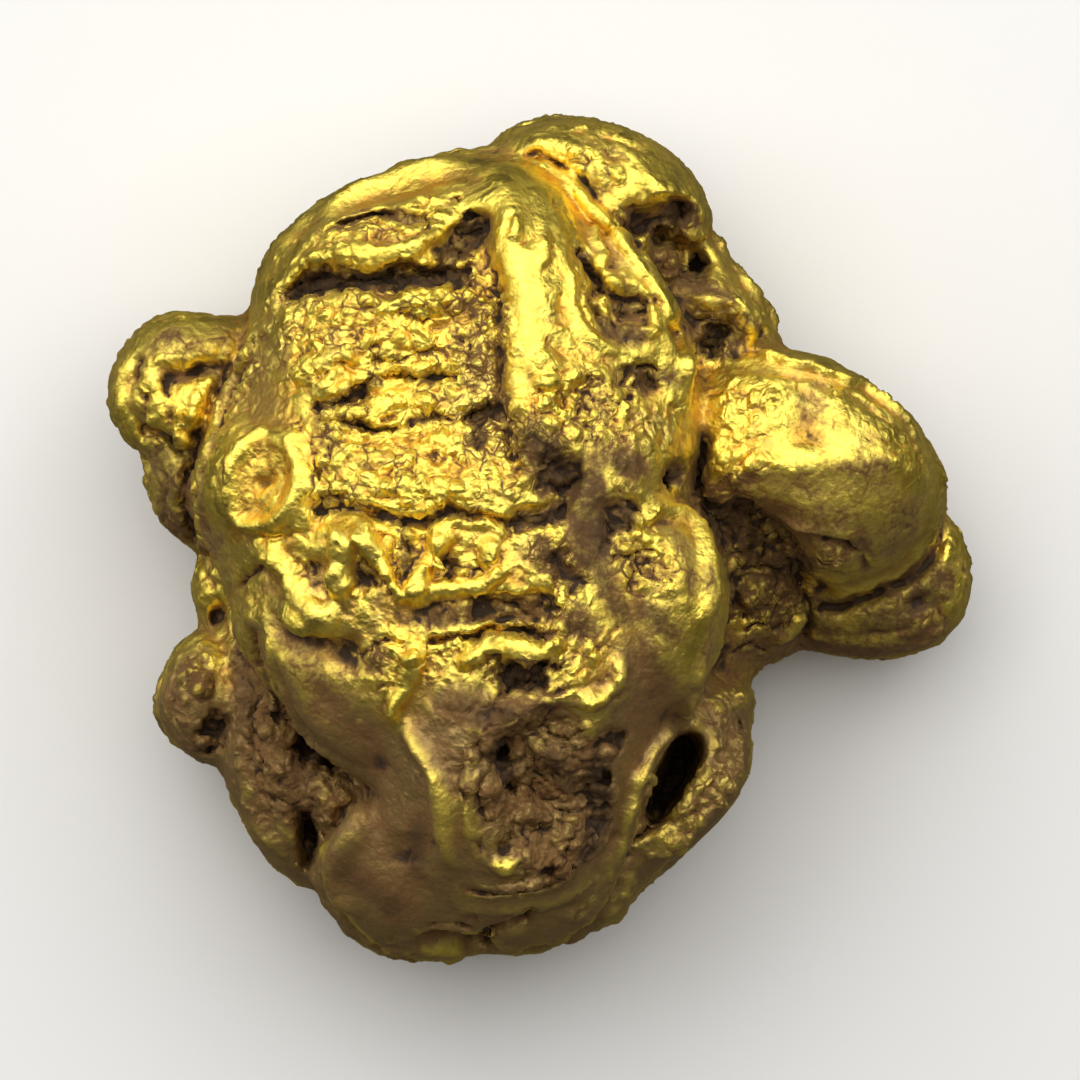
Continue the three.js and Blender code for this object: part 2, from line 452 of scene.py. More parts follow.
def crack(path: Plan, width: float, depth: float, stain_and_painted_light: float = 0.9) -> Stroke:
    """An open crack with turned-up lips.

    Args:
        path: its run.
        width: half-width, lips included.
        depth: how deep it is.
        stain_and_painted_light: how brown it is, and how much painted shade darkens it.

    Returns:
        The stroke.
    """
    return Stroke(path, width, -depth, Profile.CRACK, plunge=True, stain_and_painted_light=stain_and_painted_light, rough=0.4)


def crease(path: Plan, width: float, depth: float, stain_and_painted_light: float = 0.6) -> Stroke:
    """A sharp fold line.

    Args:
        path: its run.
        width: half-width.
        depth: how deep it is.
        stain_and_painted_light: how brown it is, and how much painted shade darkens it.

    Returns:
        The stroke.
    """
    return Stroke(path, width, -depth, Profile.SHARP, stain_and_painted_light=stain_and_painted_light)


def roll(path: Plan, width: float, height: float, rough: float = -0.5, taper: float = 0.22) -> Stroke:
    """A rounded ridge of burnished metal.

    Args:
        path: its run.
        width: half-width.
        height: how far it stands out.
        rough: its grain, under 0 where it is burnished.
        taper: share of the path over which each end fades out.

    Returns:
        The stroke.
    """
    return Stroke(path, width, height, Profile.ROUND, taper=taper, rough=rough)


def pit(x: float, y: float, width: float, depth: float, stain_and_painted_light: float = 0.9) -> Stroke:
    """A small deep hole.

    Args:
        x: its place.
        y: its place.
        width: half-width.
        depth: how deep it is.
        stain_and_painted_light: how brown it is, and how much painted shade darkens it.

    Returns:
        The stroke.
    """
    return Stroke(((x, y),), width, -depth, Profile.FLAT, plunge=True, stain_and_painted_light=stain_and_painted_light, rough=0.4)


def hollow(path: Plan, width: float, depth: float, stain_and_painted_light: float = 0.85, rough: float = 0.6) -> Stroke:
    """A wide ragged recess with a floor.

    Args:
        path: its run.
        width: half-width.
        depth: how deep it is.
        stain_and_painted_light: how brown it is, and how much painted shade darkens it.
        rough: how grainy its floor is.

    Returns:
        The stroke.
    """
    return Stroke(path, width, -depth, Profile.FLAT, plunge=True, stain_and_painted_light=stain_and_painted_light, rough=rough)


def step(path: Plan, width: float, depth: float, stain_and_painted_light: float = 0.5) -> Stroke:
    """A scarp: what lies right of the path is lower.

    Args:
        path: its run.
        width: how far the drop fades out from the edge.
        depth: the drop.
        stain_and_painted_light: how brown its foot is, and how much painted shade darkens it.

    Returns:
        The stroke.
    """
    return Stroke(path, width, -depth, Profile.STEP, plunge=True, taper=0.15, stain_and_painted_light=stain_and_painted_light)


def wash(path: Plan, width: float, stain_and_painted_light: float, rough: float = 0.0) -> Stroke:
    """Staining and grain with no form of their own, fading out from the path; at some places the staining is
    painted shade, and under 0 painted highlight.

    Args:
        path: its run.
        width: half-width.
        stain_and_painted_light: how brown it is, under 0 where it is rubbed bright; at some places painted
            shade, and under 0 painted highlight.
        rough: how grainy it is.

    Returns:
        The stroke.
    """
    return Stroke(path, width, 0.0, taper=0.0, stain_and_painted_light=stain_and_painted_light, rough=rough)


def patch(path: Plan, width: float, rough: float, stain_and_painted_light: float = 0.0) -> Stroke:
    """Grain and staining with no form of their own, even up to a ragged edge; at some places the staining is
    painted shade.

    Args:
        path: its run.
        width: half-width.
        rough: how grainy it is.
        stain_and_painted_light: how brown it is, and how much painted shade darkens it.

    Returns:
        The stroke.
    """
    return Stroke(path, width, 0.0, Profile.FLAT, taper=0.0, stain_and_painted_light=stain_and_painted_light, rough=rough)


def notch(path: Plan, width: float, depth: float, taper: float = 0.22) -> Stroke:
    """A sharp stained cut, pressed straight in.

    Args:
        path: its run.
        width: half-width.
        depth: how deep it is.
        taper: share of the path over which each end fades out.

    Returns:
        The stroke.
    """
    return Stroke(path, width, -depth, Profile.SHARP, plunge=True, taper=taper, stain_and_painted_light=1.0)


def bar(path: Plan, width: float, height: float) -> Stroke:
    """A flat-topped ridge, rubbed bright.

    Args:
        path: its run.
        width: half-width.
        height: how far it stands out.

    Returns:
        The stroke.
    """
    return Stroke(path, width, height, Profile.FLAT, taper=0.25, stain_and_painted_light=-0.9, rough=-0.9)


class Region:
    """One part of the lump, as the strokes that shape it."""

    def folds(self) -> list[Stroke]:
        """The large forms, worked while the mesh is coarse."""
        return []

    def marks(self) -> list[Stroke]:
        """The fine forms, worked while the mesh is fine."""
        return []

    def grain(self) -> list[Stroke]:
        """Stain and grain with no form of their own."""
        return []


@dataclass
class CrackedFace(Region):
    """The upper left of the body: a rough sunken floor with cracks across it, under a rounded brow."""

    ledge: float = 0.95
    slit: float = 0.62

    def folds(self) -> list[Stroke]:
        """The large forms, worked while the mesh is coarse.

        Returns:
            The strokes.
        """
        return [
            hollow(
                ((-6.7, 5.85), (-6.1, 6.15), (-5.4, 6.35), (-4.4, 6.35), (-3.3, 6.4), (-2.2, 6.5),
                 (-1.3, 6.55)),
                0.48, self.ledge, 1.0,
            ),
            hollow(((-2.6, 6.9), (-2.0, 7.25), (-1.7, 7.7), (-1.75, 8.1)), 0.5, 0.5, 0.9),
            roll(((-6.2, 6.7), (-5.0, 7.0), (-3.7, 6.98), (-2.9, 7.3), (-2.3, 7.9)), 0.34, 0.36, 0.0),
            Stroke(((-5.0, 7.5), (-4.2, 7.4)), 0.7, 0.15, rough=0.6),
            roll(((-6.9, 6.6), (-5.8, 8.0), (-4.2, 8.75), (-2.4, 9.2), (-1.2, 9.3)), 0.7, 0.2, -0.2),
            crack(((-5.7, 3.15), (-5.2, 3.3), (-4.7, 3.5), (-4.2, 3.85)), 0.44, 0.8, 0.95),
            hollow(((-1.9, 3.0), (-1.3, 3.1), (-0.85, 3.25)), 0.42, 0.45, 0.85, 0.8),
            hollow(((-1.7, 2.6), (-1.2, 2.4)), 0.5, 0.25, 0.75, 0.8),
            hollow(((-5.7, 0.95), (-4.9, 0.85)), 0.45, 0.35, 0.6),
            hollow(((-0.9, 0.55), (0.1, 0.5), (0.8, 0.85)), 0.42, 0.5, 0.95),
        ]

    def marks(self) -> list[Stroke]:
        """The fine forms, worked while the mesh is fine.

        Returns:
            The strokes.
        """
        return [
            crack(
                ((-6.6, 6.1), (-5.9, 6.4), (-4.8, 6.5), (-3.6, 6.55), (-2.6, 6.65), (-1.5, 6.75)),
                0.3, 0.55, 1.0,
            ),
            crack(((-6.3, 5.9), (-5.3, 6.15), (-4.2, 6.25), (-3.2, 6.3)), 0.24, 0.25, 1.0),
            crack(((-2.3, 7.5), (-1.9, 7.1), (-1.5, 7.0)), 0.22, 0.25, 0.9),
            crack(((-5.4, 7.6), (-4.7, 7.9), (-4.0, 8.1), (-3.3, 7.95), (-2.6, 8.0)), 0.42, 0.7, 1.0),
            hollow(((-4.2, 8.05), (-3.8, 8.1)), 0.26, 0.35, 1.0),
            hollow(((-2.8, 7.85), (-2.65, 7.9)), 0.24, 0.35, 1.0),
            hollow(((-2.25, 8.4), (-2.1, 8.55)), 0.22, 0.3, 0.9),
            hollow(((-1.9, 8.15), (-1.6, 7.95)), 0.26, 0.35, 1.0),
            crack(((-4.5, 3.75), (-4.0, 3.95), (-3.0, 3.9), (-2.4, 4.0), (-1.8, 4.2)), 0.28, 0.6, 1.0),
            crack(
                ((-5.6, 2.95), (-4.7, 2.9), (-4.0, 2.75), (-3.2, 2.9), (-2.7, 3.05), (-2.0, 2.95)),
                0.28, 0.6, 1.0,
            ),
            crack(((-2.1, 2.95), (-1.6, 3.2), (-1.1, 3.4)), 0.28, 0.5, 1.0),
            crack(
                ((-5.6, 0.8), (-4.5, 0.8), (-3.8, 0.6), (-3.0, 0.5), (-2.4, 0.7), (-1.5, 0.8), (-0.7, 0.5),
                 (0.0, 0.4), (0.6, 0.7), (0.8, 0.85)),
                0.32, self.slit, 1.0,
            ),
            crack(((-3.8, 0.75), (-2.9, 0.85), (-2.0, 1.0)), 0.2, 0.25, 0.7),
            crack(((-4.4, 4.4), (-3.5, 4.35), (-2.8, 4.6), (-2.2, 4.55)), 0.2, 0.2, 0.7),
            crack(((-5.5, 4.0), (-4.6, 4.5), (-3.9, 4.9)), 0.18, 0.18, 0.5),
            roll(((-5.4, 3.25), (-4.6, 3.1), (-3.6, 3.35), (-2.6, 3.5), (-1.7, 3.6)), 0.3, 0.2, 0.6),
            roll(((-6.3, 4.0), (-5.2, 4.4), (-4.2, 4.9), (-3.2, 4.6)), 0.4, 0.16, 0.8),
            roll(((-3.8, 5.2), (-3.0, 4.95), (-2.6, 4.7)), 0.35, 0.16, 0.8),
            roll(((-4.8, 2.3), (-3.6, 2.0), (-2.5, 2.3), (-1.4, 2.1)), 0.45, 0.16, 0.8),
            roll(((-4.6, 1.4), (-3.4, 1.2), (-2.4, 1.4), (-1.2, 1.3)), 0.35, 0.16, 0.8),
            crack(((-6.0, 4.9), (-5.4, 5.3), (-4.8, 5.3)), 0.2, 0.2, 0.5),
            crack(((-3.6, 5.6), (-3.0, 5.4), (-2.2, 5.7)), 0.2, 0.2, 0.6),
            crack(((-1.4, 5.8), (-1.3, 4.9), (-1.2, 4.2)), 0.22, 0.22, 0.8),
        ]

    def grain(self) -> list[Stroke]:
        """Stain and grain with no form of their own.

        Returns:
            The strokes.
        """
        return [
            patch(((-5.4, 5.2), (-2.2, 5.2)), 1.9, 1.0),
            patch(((-4.6, 2.2), (-1.6, 2.2)), 1.7, 1.0),
            patch(((-5.2, 7.4), (-3.0, 7.9)), 0.8, 0.7),
            patch(((-1.9, 5.6), (-1.5, 4.2)), 0.7, 0.5, 0.5),
        ]


@dataclass
class Crest(Region):
    """The smooth ridge down the middle, the thin rim at its right, and the pockets between them."""

    scarp: float = 0.95

    def folds(self) -> list[Stroke]:
        """The large forms, worked while the mesh is coarse.

        Returns:
            The strokes.
        """
        return [
            step(
                ((-1.6, 8.3), (-1.3, 7.9), (-1.12, 7.2), (-1.0, 6.5), (-0.95, 5.5), (-0.85, 4.5), (-0.7, 3.5),
                 (-0.45, 2.7), (-0.3, 1.6)),
                1.4, self.scarp,
            ),
            roll(((-1.6, 9.0), (-0.9, 8.4), (-0.45, 7.0), (-0.25, 5.5), (-0.05, 4.0)), 0.75, 0.22),
            roll(((0.4, 9.15), (1.3, 8.35), (2.2, 7.2), (3.0, 6.0), (3.5, 5.0), (3.85, 3.7)), 0.42, 0.34, -0.8),
            hollow(((-0.1, 1.9), (0.5, 1.6), (1.1, 1.4)), 0.75, 0.5, 0.9),
            crack(((1.0, 7.15), (1.3, 6.75), (1.5, 6.3), (1.45, 5.9)), 0.42, 0.7, 1.0),
            Stroke(((1.75, 5.7), (2.3, 5.62), (2.75, 5.6)), 0.72, -0.6, plunge=True, stain_and_painted_light=0.7, rough=0.5),
            Stroke(((2.3, 4.0), (2.85, 4.1)), 0.62, -0.5, plunge=True, stain_and_painted_light=0.8, rough=0.5),
            roll(
                ((0.6, 7.0), (0.85, 6.4), (0.8, 5.8), (1.05, 5.2), (1.7, 4.75), (2.4, 4.65), (2.95, 4.85)),
                0.28, 0.22,
            ),
            Stroke(((0.6, 3.9), (1.5, 3.3)), 0.9, -0.2, rough=0.7),
        ]

    def marks(self) -> list[Stroke]:
        """The fine forms, worked while the mesh is fine.

        Returns:
            The strokes.
        """
        return [
            roll(
                ((0.6, 8.95), (1.4, 8.15), (2.2, 7.15), (3.0, 5.95), (3.5, 4.9), (3.8, 3.9)),
                0.24, 0.16, -0.8,
            ),
            hollow(((0.9, 7.15), (1.05, 7.0)), 0.32, 0.6, 1.0),
            crack(((1.15, 6.85), (1.55, 6.35), (1.42, 5.8), (1.65, 5.2)), 0.36, 0.6, 1.0),
            crack(((1.5, 6.1), (1.9, 5.95), (2.4, 6.0), (2.9, 5.85)), 0.26, 0.35, 1.0),
            crack(((1.7, 5.6), (2.2, 5.55), (2.8, 5.65)), 0.2, 0.25, 0.9),
            roll(((1.85, 6.45), (1.92, 6.05)), 0.22, 0.3, 0.0),
            roll(((1.9, 5.2), (2.5, 5.1), (3.0, 5.25)), 0.18, 0.22, 0.2),
            roll(((1.1, 7.8), (1.45, 7.2), (1.75, 6.7)), 0.24, 0.28, -0.4),
            crease(((-0.82, 8.2), (-0.8, 7.9), (-0.84, 7.6)), 0.24, 0.28),
            crease(((0.0, 7.95), (-0.2, 7.55), (-0.5, 7.3)), 0.22, 0.25),
            crease(((0.5, 8.5), (0.35, 8.0), (0.6, 7.6)), 0.2, 0.18),
            roll(((-0.5, 8.0), (-0.6, 7.5)), 0.2, 0.16),
            roll(((0.25, 8.1), (0.15, 7.3), (0.1, 6.8)), 0.24, 0.18),
            crack(((1.9, 3.75), (2.2, 4.25), (2.7, 4.4), (3.0, 4.2)), 0.26, 0.4, 1.0),
            crack(((2.1, 3.8), (2.5, 3.95), (2.9, 3.75)), 0.24, 0.35, 1.0),
            crack(((1.8, 3.3), (2.1, 3.5), (2.3, 3.7)), 0.2, 0.25),
            Stroke(((-0.1, 4.6), (0.2, 3.7)), 0.5, 0.14, rough=0.2),
            crease(((0.2, 5.0), (0.15, 4.6)), 0.16, 0.14),
            crease(((0.4, 6.2), (0.5, 5.6)), 0.16, 0.12, 0.2),
            crack(((1.5, 1.7), (2.2, 0.95), (2.8, 0.15), (3.2, -0.2)), 0.2, 0.2, 0.5),
            crack(((1.5, 0.5), (1.75, 0.1), (1.6, -0.4)), 0.24, 0.3),
            pit(3.12, 1.4, 0.36, 0.9, 1.0),
            roll(((3.45, 1.05), (3.5, 1.35)), 0.2, 0.3, 0.2),
            notch(((4.12, 2.6), (4.05, 2.1), (3.95, 1.6), (3.85, 1.1)), 0.22, 0.6),
            crack(((0.0, 1.6), (0.5, 1.3), (1.2, 1.5)), 0.3, 0.35, 1.0),
            crack(((-0.2, 2.1), (0.4, 2.0), (0.9, 2.1)), 0.26, 0.25, 0.9),
        ]

    def grain(self) -> list[Stroke]:
        """Stain and grain with no form of their own.

        Returns:
            The strokes.
        """
        return [
            patch(((0.6, 3.2), (2.2, 2.6)), 1.4, 0.55),
            wash(((0.1, 6.0), (0.0, 4.4)), 0.7, 0.0, 0.3),
            wash(((2.3, 5.6),), 0.8, 0.7),
            wash(((0.0, 2.4), (0.5, 1.8), (1.0, 1.3)), 1.0, 0.95, -0.1),
            wash(((1.2, 2.1), (2.0, 1.9), (2.7, 1.6)), 0.9, 0.5, -0.2),
            patch(((1.25, 1.7), (1.2, 0.6), (1.25, -0.4)), 0.75, -0.5, 1.0),
            wash(((-0.9, 8.9), (-0.2, 8.4), (0.1, 7.2)), 0.9, 0.0, -0.4),
        ]


@dataclass
class MiddleFace(Region):
    """Across the middle: the bulge at the left, the zigzag ridges, and the hooked crease."""

    ridge: float = 0.5

    def folds(self) -> list[Stroke]:
        """The large forms, worked while the mesh is coarse.

        Returns:
            The strokes.
        """
        return [
            roll(
                ((-7.6, 1.2), (-7.5, 2.0), (-7.0, 2.55), (-6.35, 2.5), (-6.0, 1.9), (-6.1, 1.1), (-6.35, 0.55),
                 (-6.9, 0.4), (-7.4, 0.6), (-7.6, 1.2)),
                0.38, 0.4, -0.3, 0.0,
            ),
            Stroke(((-6.85, 1.8), (-6.75, 1.3)), 0.46, -0.25, rough=-0.2),
            crease(((-5.7, 2.1), (-5.62, 1.2), (-5.7, 0.4), (-5.75, 0.0)), 0.34, 0.35, 0.5),
            roll(((-7.2, -0.1), (-6.5, -0.5), (-6.0, -1.2), (-5.4, -1.85), (-5.0, -1.95)), 0.42, 0.36, 0.2),
            Stroke(((-6.9, -1.7), (-6.0, -2.6), (-5.0, -2.8), (-4.4, -2.6)), 0.7, -0.3, stain_and_painted_light=0.2),
            hollow(((-5.7, -0.5), (-5.6, -0.9)), 0.36, 0.35, 0.6, 0.3),
            Stroke(((-4.5, -0.9), (-4.2, -1.4)), 0.5, -0.3, stain_and_painted_light=0.3, rough=0.2),
            Stroke(((-2.8, -0.4), (-2.0, -0.8)), 0.5, -0.3, stain_and_painted_light=0.4, rough=0.8),
            hollow(((-1.8, -1.7), (-0.8, -1.75), (0.1, -1.6)), 0.5, 0.4, 0.7, 0.1),
            hollow(((0.0, -1.75), (0.4, -1.5)), 0.5, 0.35, 0.85),
            hollow(((-1.1, -3.3), (-0.3, -3.3), (0.3, -3.2)), 0.6, 0.6, 0.95, 0.4),
            Stroke(((0.3, -0.3), (0.6, -0.9), (1.0, -1.4)), 0.7, -0.25, stain_and_painted_light=0.75, rough=0.8),
            hollow(((1.5, 0.4), (2.0, 0.6), (2.4, 0.5)), 0.5, 0.4, 0.9, 0.1),
            roll(((2.3, 0.65), (3.0, 0.75), (3.75, 0.4), (4.12, -0.4), (4.25, -1.4), (4.1, -2.4)), 0.5, 0.34),
            Stroke(((2.3, -0.3), (3.2, -0.8)), 0.65, -0.25, rough=0.8),
            hollow(((3.0, 1.35), (3.3, 1.6), (3.6, 1.5)), 0.42, 0.8, 1.0),
            roll(((-1.4, -3.6), (-2.3, -3.7)), 0.7, 0.15, -0.6),
        ]

    def marks(self) -> list[Stroke]:
        """The fine forms, worked while the mesh is fine.

        Returns:
            The strokes.
        """
        r = self.ridge
        return [
            bar(((-6.4, -1.3), (-6.0, -1.8), (-5.5, -2.05), (-4.85, -2.05)), 0.55, 0.28),
            crease(((-7.0, 0.02), (-6.7, 0.05), (-6.35, 0.0)), 0.2, 0.3, 0.9),
            bar(((-5.0, -1.8), (-4.98, -1.0), (-4.9, -0.2), (-4.8, 0.5)), 0.36, r),
            bar(((-4.6, 0.6), (-4.15, -0.25), (-3.75, -0.9), (-3.3, -1.55)), 0.24, r),
            bar(((-3.3, -1.6), (-2.95, -0.9), (-2.6, -0.3), (-2.2, 0.4)), 0.34, r),
            bar(((-3.3, -1.5), (-2.4, -1.25), (-1.5, -1.2), (-1.0, -0.85), (-0.6, -0.4)), 0.28, 0.8 * r),
            bar(((-1.3, 0.2), (-1.2, -0.3), (-1.1, -0.8)), 0.28, 0.6 * r),
            crack(((-4.6, -0.2), (-4.4, -1.0), (-4.1, -1.6)), 0.2, 0.2, 0.7),
            crack(((-3.5, 0.2), (-3.2, -0.4), (-3.0, -0.9)), 0.2, 0.2, 0.7),
            crack(((-2.2, -0.6), (-1.5, -0.7), (-0.9, -0.4)), 0.2, 0.22, 0.8),
            crack(
                ((-3.05, -2.47), (-2.2, -2.3), (-1.3, -2.4), (-0.4, -2.2), (0.25, -2.2), (0.62, -1.7),
                 (0.68, -1.4)),
                0.3, 0.75, 1.0,
            ),
            roll(((-2.1, -2.95), (-1.3, -2.78), (-0.5, -2.65), (0.1, -2.55), (0.7, -2.5)), 0.3, 0.5, -0.8),
            crack(((-0.9, -1.6), (-0.3, -1.75), (0.2, -1.6)), 0.2, 0.25, 0.9),
            crack(((-0.1, -3.9), (0.5, -3.75), (0.9, -3.4)), 0.2, 0.25),
            crack(((-1.1, -3.3), (-0.4, -2.95), (0.3, -3.1), (0.8, -2.95)), 0.22, 0.28, 0.9),
            crack(((-0.9, -3.9), (-0.5, -3.5), (0.0, -3.5)), 0.2, 0.25, 0.9),
            roll(((-3.0, -2.5), (-3.2, -3.2), (-3.45, -4.0), (-3.6, -4.7)), 0.36, 0.42, -0.5),
            roll(((-3.9, -2.6), (-3.4, -2.9), (-2.9, -2.8)), 0.26, 0.3, -0.4),
            crack(((-4.6, -2.9), (-4.0, -2.5), (-3.5, -2.6)), 0.22, 0.24, 0.8),
            crack(((-4.2, -3.9), (-3.8, -3.4)), 0.2, 0.2, 0.7),
            roll(((0.9, -3.9), (1.4, -3.8), (1.9, -3.4), (2.1, -2.8)), 0.36, 0.35, 0.1),
            roll(((1.9, 0.7), (2.5, 0.45), (3.0, 0.75)), 0.22, 0.16, 0.4),
            crack(((2.0, -0.4), (2.7, -0.2), (3.3, -0.5)), 0.2, 0.2, 0.6),
            crack(((1.1, -2.9), (1.6, -2.6), (2.0, -2.1)), 0.2, 0.2, 0.7),
            crack(((-6.4, 0.0), (-6.0, 0.2), (-5.7, 0.0)), 0.2, 0.2, 0.7),
            crease(((-7.6, -1.2), (-7.0, -0.8), (-6.6, -0.9)), 0.24, 0.35, 1.0),
        ]

    def grain(self) -> list[Stroke]:
        """Stain and grain with no form of their own.

        Returns:
            The strokes.
        """
        return [
            patch(((-4.4, -0.6), (-0.6, -0.8), (1.2, -0.8)), 1.5, 0.25),
            patch(((2.0, 0.0), (3.0, -0.6)), 0.9, 0.6),
            patch(((-3.6, -2.9), (0.8, -2.6)), 0.9, 0.6),
            wash(((1.35, -0.6), (1.7, -1.3), (2.1, -1.9)), 0.75, 0.95, -0.4),
            wash(((3.3, 0.2), (3.7, -0.5), (3.8, -1.4)), 0.5, 0.8, -0.3),
            wash(((2.0, -0.2), (3.2, -1.6)), 0.9, 0.45, 0.2),
            wash(((0.9, 2.6), (1.4, 3.4), (2.2, 4.4)), 0.8, 0.4, 0.2),
            wash(((4.3, -1.7), (4.2, -2.6), (3.8, -3.6)), 0.6, 0.7, -0.2),
            wash(((2.9, -2.2), (3.0, -3.4), (2.4, -4.6)), 1.4, 0.75, -0.2),
            wash(((-2.0, -4.0), (-1.2, -4.4)), 0.8, 0.75, 0.4),
            wash(((0.2, -0.4), (0.7, -1.0)), 0.7, 0.75, 0.5),
            wash(((1.4, 2.5), (2.4, 2.2)), 0.7, 0.55, -0.1),
            wash(((-1.4, -1.6), (-0.2, -1.6)), 0.6, 0.7, -0.1),
        ]


@dataclass
class Flap(Region):
    """The smooth lip that folds over the lower left, and the hollow under it."""

    drop: float = 1.15

    def folds(self) -> list[Stroke]:
        """The large forms, worked while the mesh is coarse.

        Returns:
            The strokes.
        """
        return [
            step(
                ((-7.0, -1.9), (-6.95, -2.6), (-6.6, -3.4), (-6.2, -4.1), (-5.8, -4.9), (-5.1, -5.5),
                 (-4.3, -5.95), (-3.9, -6.25)),
                1.3, self.drop, 0.8,
            ),
            roll(((-6.5, -2.4), (-6.0, -3.4), (-5.5, -4.3), (-4.8, -5.0), (-4.0, -5.5)), 0.75, 0.26),
            roll(
                ((-7.75, -1.6), (-7.6, -2.6), (-7.4, -3.6), (-7.3, -4.6), (-7.4, -5.6), (-7.1, -6.6),
                 (-6.6, -7.6), (-6.1, -8.3)),
                0.45, 0.25, 0.1,
            ),
            hollow(((-6.15, -4.9), (-5.7, -5.3), (-5.1, -5.8)), 0.5, 1.0, 1.0, 0.3),
            hollow(((-6.7, -4.1), (-6.4, -4.6)), 0.34, 0.5, 0.9, 0.3),
            hollow(((-5.95, -7.1), (-5.6, -7.5), (-5.65, -8.2)), 0.38, 1.0, 1.0, 0.2),
            Stroke(((-5.2, -6.4),), 0.8, 0.35, rough=0.9),
        ]

    def marks(self) -> list[Stroke]:
        """The fine forms, worked while the mesh is fine.

        Returns:
            The strokes.
        """
        return [
            roll(
                ((-6.85, -2.3), (-6.5, -3.3), (-6.1, -4.1), (-5.65, -4.9), (-5.0, -5.4), (-4.3, -5.85)),
                0.22, 0.18, -0.7,
            ),
            crease(((-7.1, -2.2), (-6.85, -3.2), (-6.45, -4.0), (-6.05, -4.7)), 0.22, 0.45, 1.0),
            crack(((-6.9, -3.4), (-6.5, -4.2), (-6.1, -4.9)), 0.24, 0.35, 1.0),
            crack(((-6.75, -6.35), (-6.3, -6.5), (-6.0, -6.75)), 0.28, 0.5, 1.0),
            crack(((-7.3, -5.0), (-6.8, -5.6), (-6.4, -6.0)), 0.22, 0.28, 0.7),
            crack(((-6.0, -6.9), (-5.7, -7.1), (-5.2, -7.3)), 0.26, 0.4, 1.0),
            crack(((-7.0, -3.9), (-7.2, -4.6), (-6.9, -5.2)), 0.22, 0.25, 0.7),
            crack(((-5.6, -6.2), (-5.1, -6.0), (-4.7, -6.2)), 0.2, 0.25, 0.9),
        ]

    def grain(self) -> list[Stroke]:
        """Stain and grain with no form of their own.

        Returns:
            The strokes.
        """
        return [
            patch(((-7.2, -4.6), (-6.6, -6.4)), 0.9, 0.5, 0.6),
            patch(((-6.2, -5.8), (-5.8, -7.6)), 0.6, 0.3, 0.7),
            patch(((-5.2, -6.4),), 0.8, 0.8, 0.4),
            wash(((-6.0, -3.0), (-5.3, -4.1), (-4.2, -5.3)), 1.4, 0.75, -0.2),
        ]


